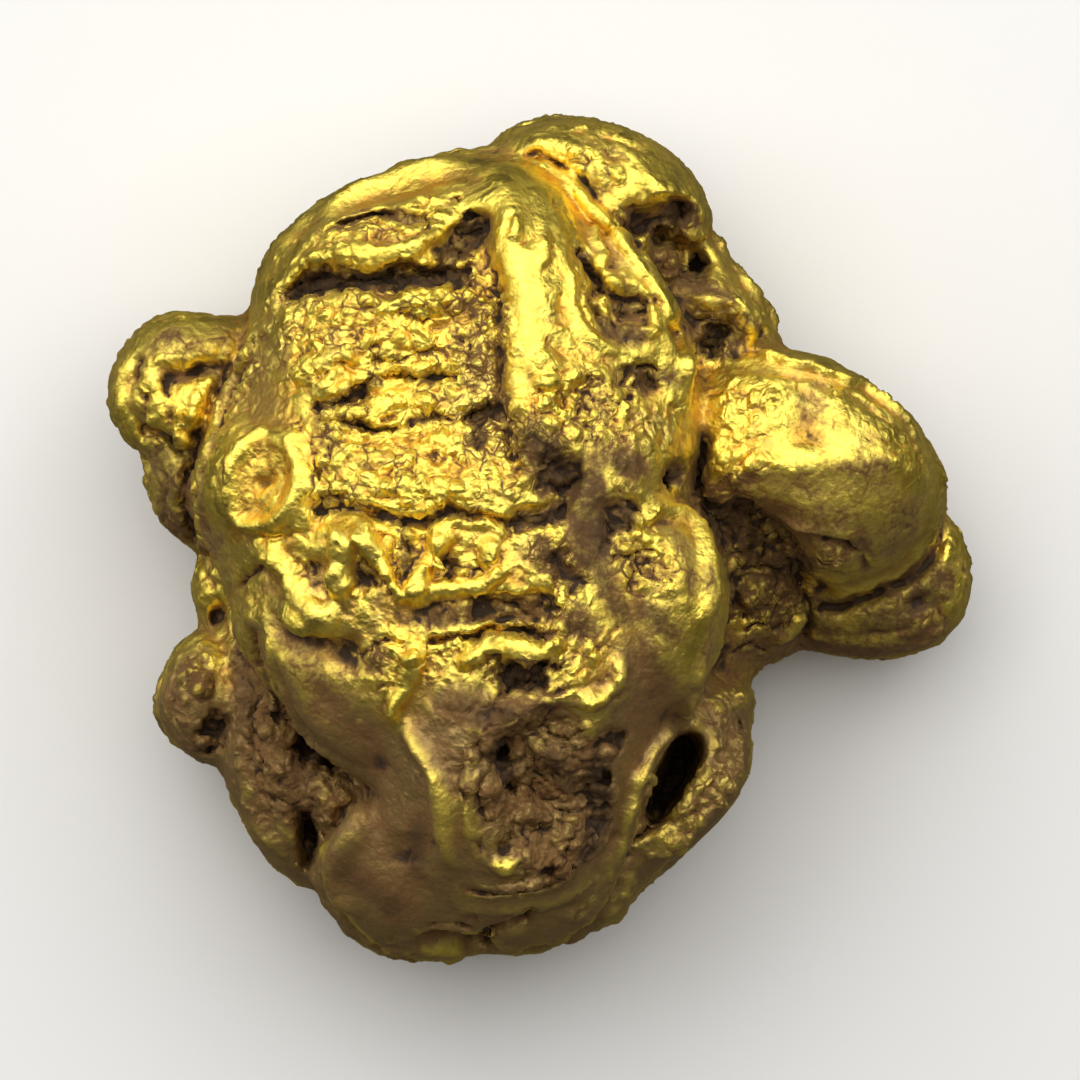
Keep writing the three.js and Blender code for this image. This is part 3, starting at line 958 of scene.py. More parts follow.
@dataclass
class Foot(Region):
    """The folded foot at the bottom, the stained hollow above it, and the smooth rim at its right."""

    sag: float = 1.0

    def folds(self) -> list[Stroke]:
        """The large forms, worked while the mesh is coarse.

        Returns:
            The strokes.
        """
        return [
            Stroke(((-0.5, -4.4), (0.0, -5.4), (0.2, -6.4), (0.1, -7.8)), 1.8, -self.sag, stain_and_painted_light=0.5, rough=0.6),
            hollow(((-1.1, -4.9), (-0.9, -5.4), (-0.7, -6.0)), 0.5, 0.5, 0.95),
            hollow(((1.3, -5.0), (1.9, -4.9), (1.8, -5.3)), 0.42, 0.4, 0.95, 0.3),
            hollow(((1.0, -6.2), (1.4, -6.8), (1.2, -7.6)), 0.5, 0.45, 0.9),
            hollow(((-0.9, -7.5), (-0.7, -7.7)), 0.32, 0.5, 1.0),
            Stroke(((-0.2, -7.0),), 0.55, 0.35, rough=0.8),
            roll(((-0.85, -7.8), (-0.7, -8.3)), 0.42, 0.35, -0.3),
            Stroke(((0.4, -5.6),), 0.6, 0.25, rough=0.7),
            roll(((-3.5, -4.6), (-2.7, -5.3), (-2.45, -6.2), (-2.4, -7.05), (-2.2, -8.3)), 0.42, 0.5),
            roll(((4.0, -2.8), (3.5, -4.1), (2.8, -5.1), (2.3, -6.1), (2.05, -7.15), (1.8, -8.2)), 0.6, 0.35),
            roll(((-2.2, -9.1), (-0.9, -9.15), (0.4, -8.9), (1.5, -8.2)), 0.42, 0.18, -0.2),
            roll(((-3.9, -6.4), (-4.5, -7.0), (-4.9, -7.8), (-5.0, -8.6), (-4.5, -9.4)), 0.55, 0.4),
            Stroke(((-3.4, -7.2), (-3.2, -8.2)), 1.1, -0.15, stain_and_painted_light=0.5),
            step(
                ((-4.1, -6.3), (-4.7, -7.0), (-5.35, -7.5), (-5.6, -8.1), (-5.55, -8.8), (-5.2, -9.3)),
                0.8, 0.7, 0.8,
            ),
        ]

    def marks(self) -> list[Stroke]:
        """The fine forms, worked while the mesh is fine.

        Returns:
            The strokes.
        """
        return [
            roll(((1.4, -5.35), (1.75, -5.35)), 0.18, 0.4, -0.6),
            pit(-0.95, -5.2, 0.36, 0.8),
            pit(-0.75, -6.1, 0.36, 0.8),
            pit(1.55, -6.0, 0.4, 0.6),
            pit(0.3, -8.2, 0.36, 0.4),
            roll(((-0.6, -6.75), (0.2, -7.0)), 0.42, 0.3, -0.2),
            roll(((-1.8, -5.6), (-1.9, -6.6), (-1.7, -7.6)), 0.4, 0.2, -0.1),
            roll(
                ((4.2, -2.6), (3.7, -4.1), (2.95, -5.15), (2.45, -6.2), (2.15, -7.2), (2.0, -8.1)),
                0.22, 0.2, -0.7,
            ),
            crack(
                ((-2.0, -8.6), (-1.3, -8.75), (-0.6, -8.7), (0.1, -8.6), (0.8, -8.1), (1.3, -7.3)),
                0.3, 0.4, 1.0,
            ),
            crease(((-2.8, -9.6), (-2.2, -9.62), (-1.7, -9.68)), 0.22, 0.5, 1.0),
            crease(
                ((-1.5, -10.15), (-1.3, -9.85), (-0.9, -9.65), (-0.4, -9.4), (-0.05, -9.15)),
                0.3, 0.75, 1.0,
            ),
            crease(((-0.8, -9.6), (-0.2, -9.5)), 0.3, 0.4, 1.0),
            crack(((-1.6, -4.8), (-1.3, -5.6), (-1.5, -6.4), (-1.2, -7.2)), 0.3, 0.35, 1.0),
            crack(((0.0, -4.6), (0.6, -4.9), (1.1, -4.6)), 0.24, 0.28, 0.9),
            crack(((0.2, -6.6), (0.7, -6.9), (1.2, -6.6)), 0.24, 0.34, 1.0),
            crack(((-0.4, -5.9), (0.0, -6.4), (0.6, -6.2)), 0.22, 0.3, 1.0),
            crack(((0.9, -7.2), (0.6, -7.8), (0.9, -8.2)), 0.24, 0.3, 1.0),
            crack(((-0.2, -5.1), (0.0, -5.7), (0.5, -6.0)), 0.2, 0.22, 0.9),
            roll(((0.2, -5.0), (0.6, -5.6), (0.4, -6.2)), 0.35, 0.2, 0.6),
            crack(((-1.9, -5.4), (-1.9, -6.2), (-1.8, -7.0)), 0.22, 0.25, 0.8),
            crack(((-1.6, -7.4), (-1.3, -8.0)), 0.2, 0.25, 0.8),
            roll(((-1.1, -8.7), (-0.5, -8.55), (0.1, -8.4)), 0.16, 0.16, 0.0),
        ]

    def grain(self) -> list[Stroke]:
        """Stain and grain with no form of their own.

        Returns:
            The strokes.
        """
        return [
            patch(((-0.6, -5.4), (0.6, -6.4), (0.4, -7.6)), 1.5, 0.8, 0.5),
            wash(((1.3, -5.4), (1.5, -6.6), (1.2, -7.8)), 0.7, 0.95, 0.2),
            wash(((-1.2, -4.6), (-0.9, -6.6)), 0.7, 0.6, 0.5),
            wash(((0.3, -5.4), (0.6, -6.0)), 0.7, 0.8),
            wash(((-1.9, -9.6), (-0.2, -9.3)), 0.6, 0.6, 0.4),
            wash(((-4.2, -7.0), (-3.3, -8.6)), 1.4, 0.75, -0.3),
            wash(((-4.8, -9.0), (-2.4, -9.8), (0.0, -9.7)), 0.9, 0.0, -0.6),
        ]


@dataclass
class Loop(Region):
    """The thin rim of metal at the lower right, the dark hole inside it, and the bridge above it."""

    depth: float = 1.6

    def folds(self) -> list[Stroke]:
        """The large forms, worked while the mesh is coarse.

        Returns:
            The strokes.
        """
        return [
            hollow(((3.8, -4.9), (3.45, -5.6), (3.05, -6.3), (2.6, -7.05)), 0.76, self.depth, 1.0, 0.3),
            roll(((5.0, -4.9), (4.65, -5.7), (4.2, -6.5), (3.5, -7.3), (2.6, -7.9)), 0.42, 0.4, 0.3),
            Stroke(((4.2, -4.2), (5.0, -4.1)), 0.45, 0.2, rough=0.6),
        ]

    def marks(self) -> list[Stroke]:
        """The fine forms, worked while the mesh is fine.

        Returns:
            The strokes.
        """
        return [
            pit(5.0, -4.65, 0.26, 0.4),
            crack(((2.3, -7.5), (2.7, -7.15), (3.2, -6.7)), 0.34, 0.7, 1.0),
            roll(((2.75, -5.75), (2.6, -6.3)), 0.2, 0.25, 0.4),
            crack(((4.0, -4.55), (4.6, -4.6), (5.1, -4.6)), 0.2, 0.35, 0.8),
            crack(((4.4, -3.7), (4.8, -3.8), (5.3, -3.7)), 0.2, 0.25, 0.7),
            roll(((4.3, -5.4), (4.1, -6.0), (3.6, -6.8), (2.8, -7.5)), 0.18, 0.2, 0.3),
        ]

    def grain(self) -> list[Stroke]:
        """Stain and grain with no form of their own.

        Returns:
            The strokes.
        """
        return [
            patch(((4.9, -4.2), (4.5, -5.8), (3.6, -7.2)), 0.7, 0.6),
        ]


@dataclass
class RightLobe(Region):
    """The big blunt lobe at the right, its toe, and the rough neck under it."""

    saddle: float = 0.28

    def folds(self) -> list[Stroke]:
        """The large forms, worked while the mesh is coarse.

        Returns:
            The strokes.
        """
        return [
            Stroke(((6.75, 4.0), (6.65, 2.3)), 0.75, -self.saddle),
            Stroke(((6.4, -2.3), (7.4, -2.4), (9.0, -2.2), (10.2, -1.6)), 5.2, -1.5, plunge=True, taper=0.0),
            roll(((4.2, 2.0), (5.2, 1.9), (6.4, 1.95), (7.6, 2.0), (8.8, 1.9), (9.5, 1.7)), 0.55, 0.16, 0.1),
            roll(((4.6, 4.45), (5.8, 4.45), (7.0, 4.2), (8.0, 3.8)), 0.3, 0.16),
            notch(((6.5, 0.1), (6.4, -0.6), (6.55, -1.2), (6.7, -1.7)), 0.3, 0.8),
            notch(((6.75, 0.1), (7.3, 0.05), (7.7, -0.15), (8.05, -0.55), (7.9, -0.95)), 0.28, 0.7),
            Stroke(((7.2, -0.55),), 0.6, 0.15, rough=0.4),
            roll(((9.95, 0.9), (9.65, 0.1), (9.1, -0.55), (8.3, -1.0), (7.4, -1.28), (6.9, -1.4)), 0.24, 0.22),
            notch(
                ((10.25, 0.8), (9.95, -0.1), (9.35, -0.8), (8.5, -1.25), (7.6, -1.52), (6.9, -1.65)),
                0.26, 0.7, 0.1,
            ),
            crack(((6.6, -1.3), (6.7, -1.8), (6.7, -2.5)), 0.34, 0.7, 1.0),
            crack(((4.15, 2.7), (4.05, 2.1), (3.9, 1.5), (3.75, 0.9)), 0.34, 0.8, 1.0),
            Stroke(((9.6, -1.4), (9.3, -1.8)), 0.5, -0.3, stain_and_painted_light=0.8, rough=0.2),
            roll(((10.0, -1.0), (10.4, -1.9)), 0.3, 0.2),
            Stroke(((4.5, 1.0), (5.3, 0.5), (6.1, -0.3)), 1.0, -0.4, stain_and_painted_light=0.7, rough=0.7),
            Stroke(((5.3, -1.35),), 0.45, 0.3, rough=0.5),
            Stroke(((4.75, -1.5),), 0.4, -0.4, stain_and_painted_light=0.8, rough=0.5),
            roll(((6.3, -1.3), (6.4, -1.8), (6.0, -2.3), (5.6, -2.5)), 0.3, 0.3, 0.3),
        ]

    def marks(self) -> list[Stroke]:
        """The fine forms, worked while the mesh is fine.

        Returns:
            The strokes.
        """
        return [
            crease(((5.0, 4.3), (6.1, 4.15), (7.1, 3.85), (8.1, 3.4), (8.9, 2.8)), 0.24, 0.28, 0.5),
            roll(
                ((5.8, 0.65), (6.4, 0.42), (7.0, 0.28), (7.6, 0.18), (8.1, -0.2), (8.3, -0.7)),
                0.18, 0.2, -0.6,
            ),
            roll(((5.0, 4.65), (6.0, 4.5), (7.0, 4.25), (8.0, 3.8), (8.8, 3.2), (9.4, 2.5)), 0.2, 0.25, -0.2),
            crack(((4.5, 1.0), (5.1, 0.7), (5.7, 0.9)), 0.26, 0.35, 1.0),
            crack(((4.7, 0.1), (5.3, -0.1), (5.9, 0.1), (6.2, 0.5)), 0.24, 0.32, 1.0),
            crack(((4.9, -0.7), (5.5, -0.6), (6.2, -0.8)), 0.24, 0.35, 1.0),
            roll(((5.4, 0.45), (5.9, 0.5), (6.2, 0.2)), 0.2, 0.18, 0.5),
            crack(((6.8, -0.3), (7.1, -0.6), (7.6, -0.4)), 0.2, 0.25, 0.9),
            crack(((5.1, -2.3), (5.5, -2.1), (5.8, -2.2)), 0.22, 0.35, 1.0),
            crack(((4.6, -2.0), (5.0, -1.8), (5.3, -1.9)), 0.2, 0.3, 0.9),
            crack(((4.8, -2.8), (5.3, -2.6), (5.9, -2.8)), 0.2, 0.3, 0.9),
            crack(((5.4, 2.4), (5.1, 2.0), (4.7, 1.9)), 0.16, 0.14, 0.4),
            pit(9.2, 0.4, 0.16, 0.12, 0.5),
            pit(8.8, 0.7, 0.12, 0.08, 0.4),
            crease(((9.4, -0.9), (9.9, -1.5), (10.2, -2.1)), 0.22, 0.2),
            crease(((7.6, -2.3), (8.6, -2.35), (9.4, -2.2)), 0.2, 0.16, 0.5),
        ]

    def grain(self) -> list[Stroke]:
        """Staining and grain with no form of their own, with painted shade below the lobe's ridge and on its
        toe.

        Returns:
            The strokes.
        """
        return [
            patch(((5.2, 3.2), (5.2, 2.5)), 1.2, 0.5),
            patch(((4.3, 0.9), (5.4, 0.4), (6.3, -0.2)), 1.3, 0.7, 0.8),
            patch(((4.9, -1.2), (6.2, -1.6)), 0.9, 0.8, 0.7),
            patch(((8.2, -2.2), (9.8, -1.8)), 0.9, 0.2, 0.5),
            wash(((7.2, 1.0), (9.0, 0.6)), 1.3, 0.0, -0.7),
            # painted shade below the lobe's ridge, this and the next
            patch(((5.4, 0.6), (7.4, 0.35), (9.0, 0.3)), 1.3, 0.0, 0.8),
            wash(((5.0, 1.3), (6.6, 1.25), (8.6, 1.3)), 0.8, 0.75),
            # staining and painted shade on the toe under the lobe, this and the next two
            wash(((7.0, -3.0), (8.4, -3.1), (9.8, -2.8)), 0.8, 0.9, -0.2),
            patch(((7.2, -2.0), (8.6, -1.9), (9.9, -1.1)), 1.0, -0.3, 0.95),
            wash(((5.0, -2.6), (6.4, -2.6), (8.4, -2.8), (9.9, -2.2)), 0.9, 0.8),
            wash(((6.4, 2.7), (8.2, 2.6)), 1.1, 0.0, -0.5),
            wash(((7.4, 3.0), (8.8, 2.4)), 1.1, 0.0, 0.35),
        ]


@dataclass
class Cap(Region):
    """The folded cap at the top, and the walls and hollows of the web below it."""

    recess: float = 1.0

    def folds(self) -> list[Stroke]:
        """The large forms, worked while the mesh is coarse.

        Returns:
            The strokes.
        """
        return [
            roll(((-0.5, 9.85), (0.5, 9.8), (1.3, 9.4), (1.8, 8.8)), 0.36, 0.2, -0.2),
            roll(((2.1, 9.2), (2.8, 8.8), (3.4, 8.4)), 0.4, 0.14, -0.1),
            hollow(((2.05, 8.05), (2.6, 8.0), (3.2, 8.0), (3.7, 7.9)), 0.5, self.recess, 1.0, 0.1),
            hollow(((3.7, 7.1), (4.2, 6.7)), 0.55, self.recess, 0.9, 0.2),
            roll(((2.85, 7.45), (3.0, 6.95), (3.25, 6.35)), 0.26, 0.6, 0.2),
            roll(((3.5, 6.1), (4.2, 6.0), (4.7, 5.8), (5.0, 5.4), (5.3, 4.9)), 0.26, 0.55, -0.1),
            hollow(((3.9, 5.25), (4.6, 5.0)), 0.55, 0.6, 0.85, 0.2),
            crack(((4.6, 6.1), (5.1, 5.7), (5.55, 5.2), (5.9, 4.85)), 0.34, 0.7, 1.0),
            roll(((4.2, 7.7), (4.6, 7.05), (5.1, 6.4), (5.6, 5.8), (5.85, 5.2)), 0.28, 0.32, 0.0),
        ]

    def marks(self) -> list[Stroke]:
        """The fine forms, worked while the mesh is fine.

        Returns:
            The strokes.
        """
        return [
            roll(((3.1, 7.72), (3.6, 7.7), (4.15, 7.65)), 0.16, 0.3, 0.0),
            crack(((2.3, 7.95), (3.0, 8.05), (3.7, 7.95)), 0.22, 0.3, 1.0),
            crack(((2.9, 8.4), (3.4, 8.3), (3.9, 8.2)), 0.18, 0.2, 0.8),
            notch(((-0.5, 9.62), (0.0, 9.47), (0.6, 9.2), (1.1, 8.85), (1.35, 8.55), (1.62, 8.25)), 0.2, 0.6),
            pit(2.45, 7.3, 0.34, 0.8, 1.0),
            crack(((1.75, 8.15), (2.1, 7.95), (2.3, 7.6)), 0.26, 0.5, 1.0),
            crack(((3.42, 7.3), (3.45, 6.95), (3.5, 6.6)), 0.2, 0.5, 1.0),
            crack(((3.3, 7.3), (3.5, 6.9), (3.4, 6.5)), 0.22, 0.35, 1.0),
            crack(((3.6, 5.6), (4.2, 5.6), (4.7, 5.3)), 0.2, 0.3, 0.8),
            crack(((3.7, 5.0), (4.1, 4.9), (4.6, 5.1)), 0.2, 0.25, 0.8),
            crack(((0.2, 9.85), (0.9, 9.65), (1.4, 9.2)), 0.15, 0.12, 0.4),
            crease(((0.9, 10.15), (1.9, 9.95), (2.7, 9.5)), 0.24, 0.14, 0.3),
            crease(((3.7, 6.5), (4.3, 6.25)), 0.2, 0.22),
        ]

    def grain(self) -> list[Stroke]:
        """Stain and grain with no form of their own.

        Returns:
            The strokes.
        """
        return [
            wash(((0.3, 9.7), (1.7, 9.1)), 0.7, 0.3, 0.5),
            patch(((3.4, 6.9), (4.4, 5.4)), 1.0, 0.3, 0.75),
            patch(((2.4, 7.9), (3.6, 7.9)), 0.5, 0.3, 0.9),
        ]


@dataclass
class LeftSide(Region):
    """The two ears, the knob and the heel that stand out under the body's left rim."""

    rim: float = 0.22

    def folds(self) -> list[Stroke]:
        """The large forms, worked while the mesh is coarse.

        Returns:
            The strokes.
        """
        return [
            roll(
                ((-7.15, 5.6), (-7.1, 4.9), (-7.35, 4.3), (-7.7, 3.5), (-8.05, 2.8), (-8.3, 2.1), (-8.4, 1.3),
                 (-8.3, 0.4), (-8.1, -0.4), (-7.8, -1.2)),
                0.36, self.rim, 0.0,
            ),
            crack(
                ((-7.35, 5.3), (-7.4, 4.8), (-7.75, 4.2), (-8.1, 3.4), (-8.5, 2.6), (-8.75, 1.8), (-8.8, 1.0),
                 (-8.7, 0.2), (-8.4, -0.5), (-8.1, -1.2)),
                0.4, 0.8, 0.9,
            ),
            notch(((-9.7, 3.98), (-9.2, 4.05), (-8.5, 4.15), (-7.6, 4.3)), 0.4, 0.9),
            roll(((-9.9, 4.2), (-9.5, 4.7), (-8.6, 4.9), (-7.8, 4.8)), 0.5, 0.1, -0.1),
            crack(((-10.0, 2.6), (-9.4, 2.5), (-8.7, 2.2)), 0.34, 0.5, 0.9),
            Stroke(((-8.6, 3.2),), 0.6, 0.3, rough=0.4),
            crack(((-8.5, -0.4), (-8.1, -0.2), (-7.8, 0.0)), 0.3, 0.5, 0.9),
            hollow(((-8.4, -4.5), (-7.8, -4.8)), 0.42, 0.9, 1.0, 0.3),
            crack(((-8.9, -5.3), (-8.3, -5.2), (-7.7, -5.0)), 0.32, 0.6, 1.0),
            pit(-7.95, -1.85, 0.34, 0.7, 1.0),
            Stroke(((-8.1, -3.6), (-9.0, -3.5)), 0.5, 0.2, rough=0.3),
        ]

    def marks(self) -> list[Stroke]:
        """The fine forms, worked while the mesh is fine.

        Returns:
            The strokes.
        """
        return [
            roll(
                ((-7.15, 5.5), (-7.2, 4.8), (-7.5, 4.1), (-7.9, 3.2), (-8.2, 2.5), (-8.45, 1.7), (-8.5, 0.8),
                 (-8.35, -0.2), (-8.0, -1.2)),
                0.2, 0.18, 0.1,
            ),
            roll(((-9.15, 3.5), (-9.0, 2.8), (-8.5, 2.4)), 0.2, 0.25),
            crease(((-9.85, 3.7), (-9.95, 3.1), (-9.9, 2.5)), 0.22, 0.4, 0.8),
            crease(((-9.9, 4.6), (-10.1, 3.9), (-10.0, 3.2)), 0.22, 0.2, 0.4),
            crease(((-9.5, 4.0), (-9.4, 3.4), (-9.3, 2.9)), 0.2, 0.22, 0.6),
            pit(-8.9, 0.9, 0.2, 0.25),
            pit(-8.5, 3.9, 0.2, 0.2, 0.6),
            crease(((-9.5, 1.9), (-9.3, 1.3), (-9.4, 0.7)), 0.2, 0.18, 0.5),
            pit(-8.2, -5.25, 0.24, 0.4, 1.0),
            crease(((-9.2, -3.0), (-9.1, -3.7), (-9.3, -4.4)), 0.2, 0.18, 0.5),
        ]

    def grain(self) -> list[Stroke]:
        """Stain and grain with no form of their own.

        Returns:
            The strokes.
        """
        return [
            patch(((-9.6, 3.8), (-8.6, 3.4)), 1.0, 0.2),
            wash(((-9.4, 4.9), (-8.0, 4.9)), 0.7, 0.5, 0.1),
            wash(((-7.0, 5.0), (-7.1, 4.2), (-7.4, 3.4)), 0.7, 0.0, 0.8),
            wash(((-7.4, 4.2), (-8.0, 3.0), (-8.4, 1.4), (-8.2, -0.2)), 0.4, 0.5),
            wash(((-7.6, -2.4), (-7.4, -3.4), (-7.3, -4.4)), 0.7, 0.75, 0.2),
            patch(((-9.3, 2.0), (-9.1, 0.2)), 1.0, 0.1, 0.8),
            patch(((-8.8, -3.2), (-8.6, -4.8)), 1.0, 0.4, 0.6),
        ]


def turned(facing: Facing, strokes: Iterable[Stroke]) -> list[Stroke]:
    """The same strokes drawn on another side of the lump.

    Args:
        facing: the side.
        strokes: the strokes, drawn in that side's plane.

    Returns:
        The strokes on that side.
    """
    return [replace(s, facing=facing) for s in strokes]


@dataclass
class Flanks(Region):
    """The front, back, left and right flanks, with long folds, pockets and patches of grain."""

    fold: float = 0.5

    def folds(self) -> list[Stroke]:
        """The large forms, worked while the mesh is coarse.

        Returns:
            The strokes.
        """
        f = self.fold
        return [
            *turned(Facing.FRONT, [
                crack(((-6.9, 8.4), (-5.2, 6.6), (-3.4, 5.6), (-2.3, 3.9), (-2.2, 2.0)), 0.5, f, 0.8),
                crease(((3.0, 7.8), (1.3, 6.6), (0.3, 4.9), (0.6, 3.0), (-0.3, 1.3)), 0.55, f, 0.5),
                hollow(((-3.0, 7.6), (-2.0, 7.1), (-1.4, 6.3)), 0.75, 0.7, 0.8),
                roll(((-6.2, 6.2), (-4.4, 4.6), (-3.5, 2.6)), 0.8, 0.12, 0.0),
                Stroke(((-1.3, 6.0), (-1.2, 4.4), (-1.0, 2.8)), 0.9, -0.3),
                roll(((2.2, 5.8), (1.9, 4.2), (2.5, 2.6)), 0.7, 0.15, 0.0),
                hollow(((8.0, 2.4), (8.8, 2.2)), 0.5, 0.4, 0.7),
            ]),
            *turned(Facing.BACK, [
                crack(((-6.0, 6.4), (-4.2, 5.7), (-2.2, 6.1), (-0.4, 5.5), (1.2, 5.9)), 0.45, f, 0.8),
                crease(((-5.0, 3.2), (-3.0, 2.7), (-1.2, 3.3), (1.0, 2.7)), 0.5, f, 0.5),
                hollow(((-3.4, 4.6), (-2.7, 4.2), (-1.9, 4.4)), 0.6, 0.5, 0.8),
                hollow(((5.8, 4.6), (6.6, 4.4)), 0.5, 0.4, 0.7),
                roll(((-5.4, 8.2), (-3.8, 7.6), (-2.2, 8.0)), 0.5, 0.2, 0.0),
            ]),
            *turned(Facing.LEFT, [
                crack(((-5.6, 3.4), (-3.6, 4.1), (-1.6, 3.3), (0.6, 4.0), (2.6, 3.3)), 0.45, f, 0.8),
                hollow(((-1.8, 5.8), (-1.0, 5.5), (-0.2, 5.8)), 0.5, 0.45, 0.8),
                crease(((1.4, 6.6), (3.2, 6.1), (4.8, 6.5)), 0.4, f, 0.5),
            ]),
            *turned(Facing.RIGHT, [
                crack(((-1.6, 3.2), (0.4, 4.0), (2.2, 3.3), (4.0, 3.9)), 0.42, f, 0.8),
                hollow(((1.2, 5.6), (2.0, 5.4)), 0.45, 0.35, 0.7),
                crease(((-7.2, 4.2), (-5.6, 3.6), (-4.2, 4.2)), 0.4, f, 0.6),
            ]),
        ]

    def marks(self) -> list[Stroke]:
        """The fine forms, worked while the mesh is fine.

        Returns:
            The strokes.
        """
        return [
            *turned(Facing.FRONT, [
                crack(((-6.4, 3.8), (-5.6, 3.0), (-5.4, 2.0)), 0.28, 0.4),
                crack(((1.2, 3.6), (1.9, 3.2), (3.0, 3.5)), 0.26, 0.35),
                pit(-4.9, 3.4, 0.3, 0.4),
                pit(-0.2, 6.6, 0.34, 0.4),
                pit(3.1, 5.4, 0.26, 0.35),
                crack(((-2.0, 5.9), (-1.2, 5.2), (-0.4, 5.5)), 0.25, 0.3),
            ]),
            *turned(Facing.BACK, [
                crack(((0.0, 4.8), (0.5, 4.1), (0.1, 3.4)), 0.28, 0.4),
                pit(-4.9, 4.5, 0.3, 0.4),
                pit(2.6, 6.8, 0.26, 0.35),
                crack(((-2.6, 7.2), (-1.8, 6.9), (-1.0, 7.2)), 0.25, 0.3),
            ]),
            *turned(Facing.LEFT, [
                pit(1.8, 5.0, 0.28, 0.35),
                crack(((-3.4, 2.4), (-2.6, 2.1), (-1.8, 2.5)), 0.25, 0.3),
            ]),
            *turned(Facing.RIGHT, [
                pit(3.2, 4.6, 0.28, 0.35),
                crack(((0.2, 2.6), (0.9, 2.2), (1.7, 2.5)), 0.25, 0.3),
            ]),
        ]

    def grain(self) -> list[Stroke]:
        """Stain and grain with no form of their own.

        Returns:
            The strokes.
        """
        patches = [
            wash(((-5.0, 3.6), (-3.6, 2.4)), 1.4, 0.0, 0.25),
            wash(((0.8, 4.6), (2.6, 3.0)), 1.2, 0.2, 0.2),
        ]
        return [stroke for side in SIDES for stroke in turned(side, patches)]


@dataclass
class PatinaAndPaintedLight(Region):
    """Staining and wear over all of the upper side, with painted shade on the foot and below the right lobe's
    ridge, and painted highlight on the crest's top, its top edge and the right lobe's top and right edge.
    """

    def grain(self) -> list[Stroke]:
        """Where it is stained brown and where shade is painted, then where it is rubbed bright and where
        highlight is painted.

        Returns:
            The strokes.
        """
        return [
            # painted shade on the foot lobe's side
            wash(((-3.1, -7.0), (-3.0, -8.3)), 0.8, 1.0, -0.2),
            # painted shade below the right lobe's ridge
            wash(((6.4, 1.9), (8.6, 1.85)), 0.7, 0.8),
            wash(((6.8, 3.2), (7.4, 3.0)), 0.7, 0.55),
            wash(((0.8, -1.8), (1.3, -2.2)), 0.6, 0.85),
            wash(((2.6, -1.8), (3.4, -2.3)), 0.8, 0.95),
            wash(((4.3, -0.9), (4.4, -1.7)), 0.5, 0.9),
            wash(((-1.3, -4.2), (0.3, -4.2)), 0.5, 0.85),
            wash(((1.7, 2.1), (2.5, 1.9)), 0.7, 0.85),
            wash(((2.2, 4.3), (3.2, 4.0)), 0.6, 0.8),
            wash(((1.7, 5.2), (2.4, 5.0)), 0.5, 0.95),
            wash(((1.6, 7.2), (2.2, 6.8)), 0.5, 0.5),
            wash(((-5.4, 3.0), (-5.3, 2.0)), 0.6, 0.5),
            wash(((-6.4, -2.6), (-5.4, -2.85), (-4.2, -3.0)), 0.7, 0.68),
            wash(((-3.4, -1.95), (-2.2, -1.85), (-0.8, -1.8)), 0.5, 0.85),
            wash(((-4.35, -0.8), (-4.15, -1.5)), 0.46, 0.7, -0.4),
            wash(((-3.5, 0.2), (-3.3, -0.7)), 0.4, 0.7, 0.3),
            wash(((-2.3, -0.5), (-1.6, -0.8)), 0.42, 0.7),
            wash(((-5.65, -0.4), (-5.6, -1.0)), 0.36, 0.7),
            wash(((-9.4, 5.0), (-8.0, 5.0)), 0.8, 0.85),
            wash(((1.0, 9.9), (2.2, 9.6)), 0.6, 0.45),
            wash(((-4.7, -8.3), (-3.6, -9.2)), 1.1, 0.95),
            wash(((-6.0, -3.2), (-5.0, -4.0)), 0.9, 0.85),
            wash(((-2.2, -5.2), (-1.9, -6.0)), 0.6, 0.7, 0.3),
            wash(((0.2, 9.4), (1.4, 8.9)), 0.6, 0.75),
            wash(((-5.6, 3.75), (-4.6, 4.15)), 0.5, -0.6),
            wash(((-5.8, 7.1), (-4.0, 7.15), (-3.0, 7.2)), 0.35, -0.7),
            # painted highlight along the top edge, where the key light falls
            wash(((-3.2, 9.0), (-1.6, 9.3), (0.2, 9.2)), 0.9, -0.8),
            wash(((-2.8, 1.3), (-1.4, 1.2)), 0.45, -0.6),
            wash(((-2.9, 4.9), (-2.3, 5.3)), 0.6, -0.7),
            # painted highlight on the right lobe's top left
            wash(((4.8, 2.4), (6.1, 2.3)), 0.7, -0.8),
            # painted highlight on the right lobe's upper right edge
            wash(((8.6, 2.7), (9.3, 2.3)), 0.6, -0.7),
            wash(((-8.5, 3.4), (-8.4, 3.1)), 0.6, -0.7),
            wash(((-7.8, 2.4), (-7.8, 1.2), (-7.6, 0.2)), 0.6, -0.8),
            wash(((-7.0, 0.4), (-6.5, -0.3)), 0.5, -0.7),
            wash(((-8.2, 1.9), (-8.2, 0.4)), 0.5, -0.8),
            wash(((2.8, 2.3), (3.7, 2.1)), 0.5, -0.5),
            wash(((-6.3, 2.2), (-6.3, 1.0), (-6.4, 0.0)), 0.45, -0.6),
            wash(((-3.3, -2.7), (-3.3, -3.6), (-3.7, -4.6)), 0.5, -0.7),
            wash(((-5.3, -7.2), (-5.4, -8.4)), 0.4, -0.6),
            wash(((-1.6, -2.75), (-0.5, -2.6), (0.5, -2.55)), 0.3, -0.6),
            wash(((-0.8, -8.0), (-0.5, -8.3)), 0.35, -0.8),
            wash(((-1.0, 7.6), (-0.6, 6.0), (-0.4, 4.4)), 0.4, -0.4),
            # painted highlight on the crest's top
            wash(((-0.2, 8.4), (0.3, 7.5)), 0.6, -0.7),
            wash(((-1.0, -0.9), (-0.3, -1.1)), 0.5, -0.6),
            # painted highlight on the right lobe's right edge, standing in for light from the right
            wash(((9.0, 2.2), (9.2, 1.6)), 0.6, -0.8),
        ]


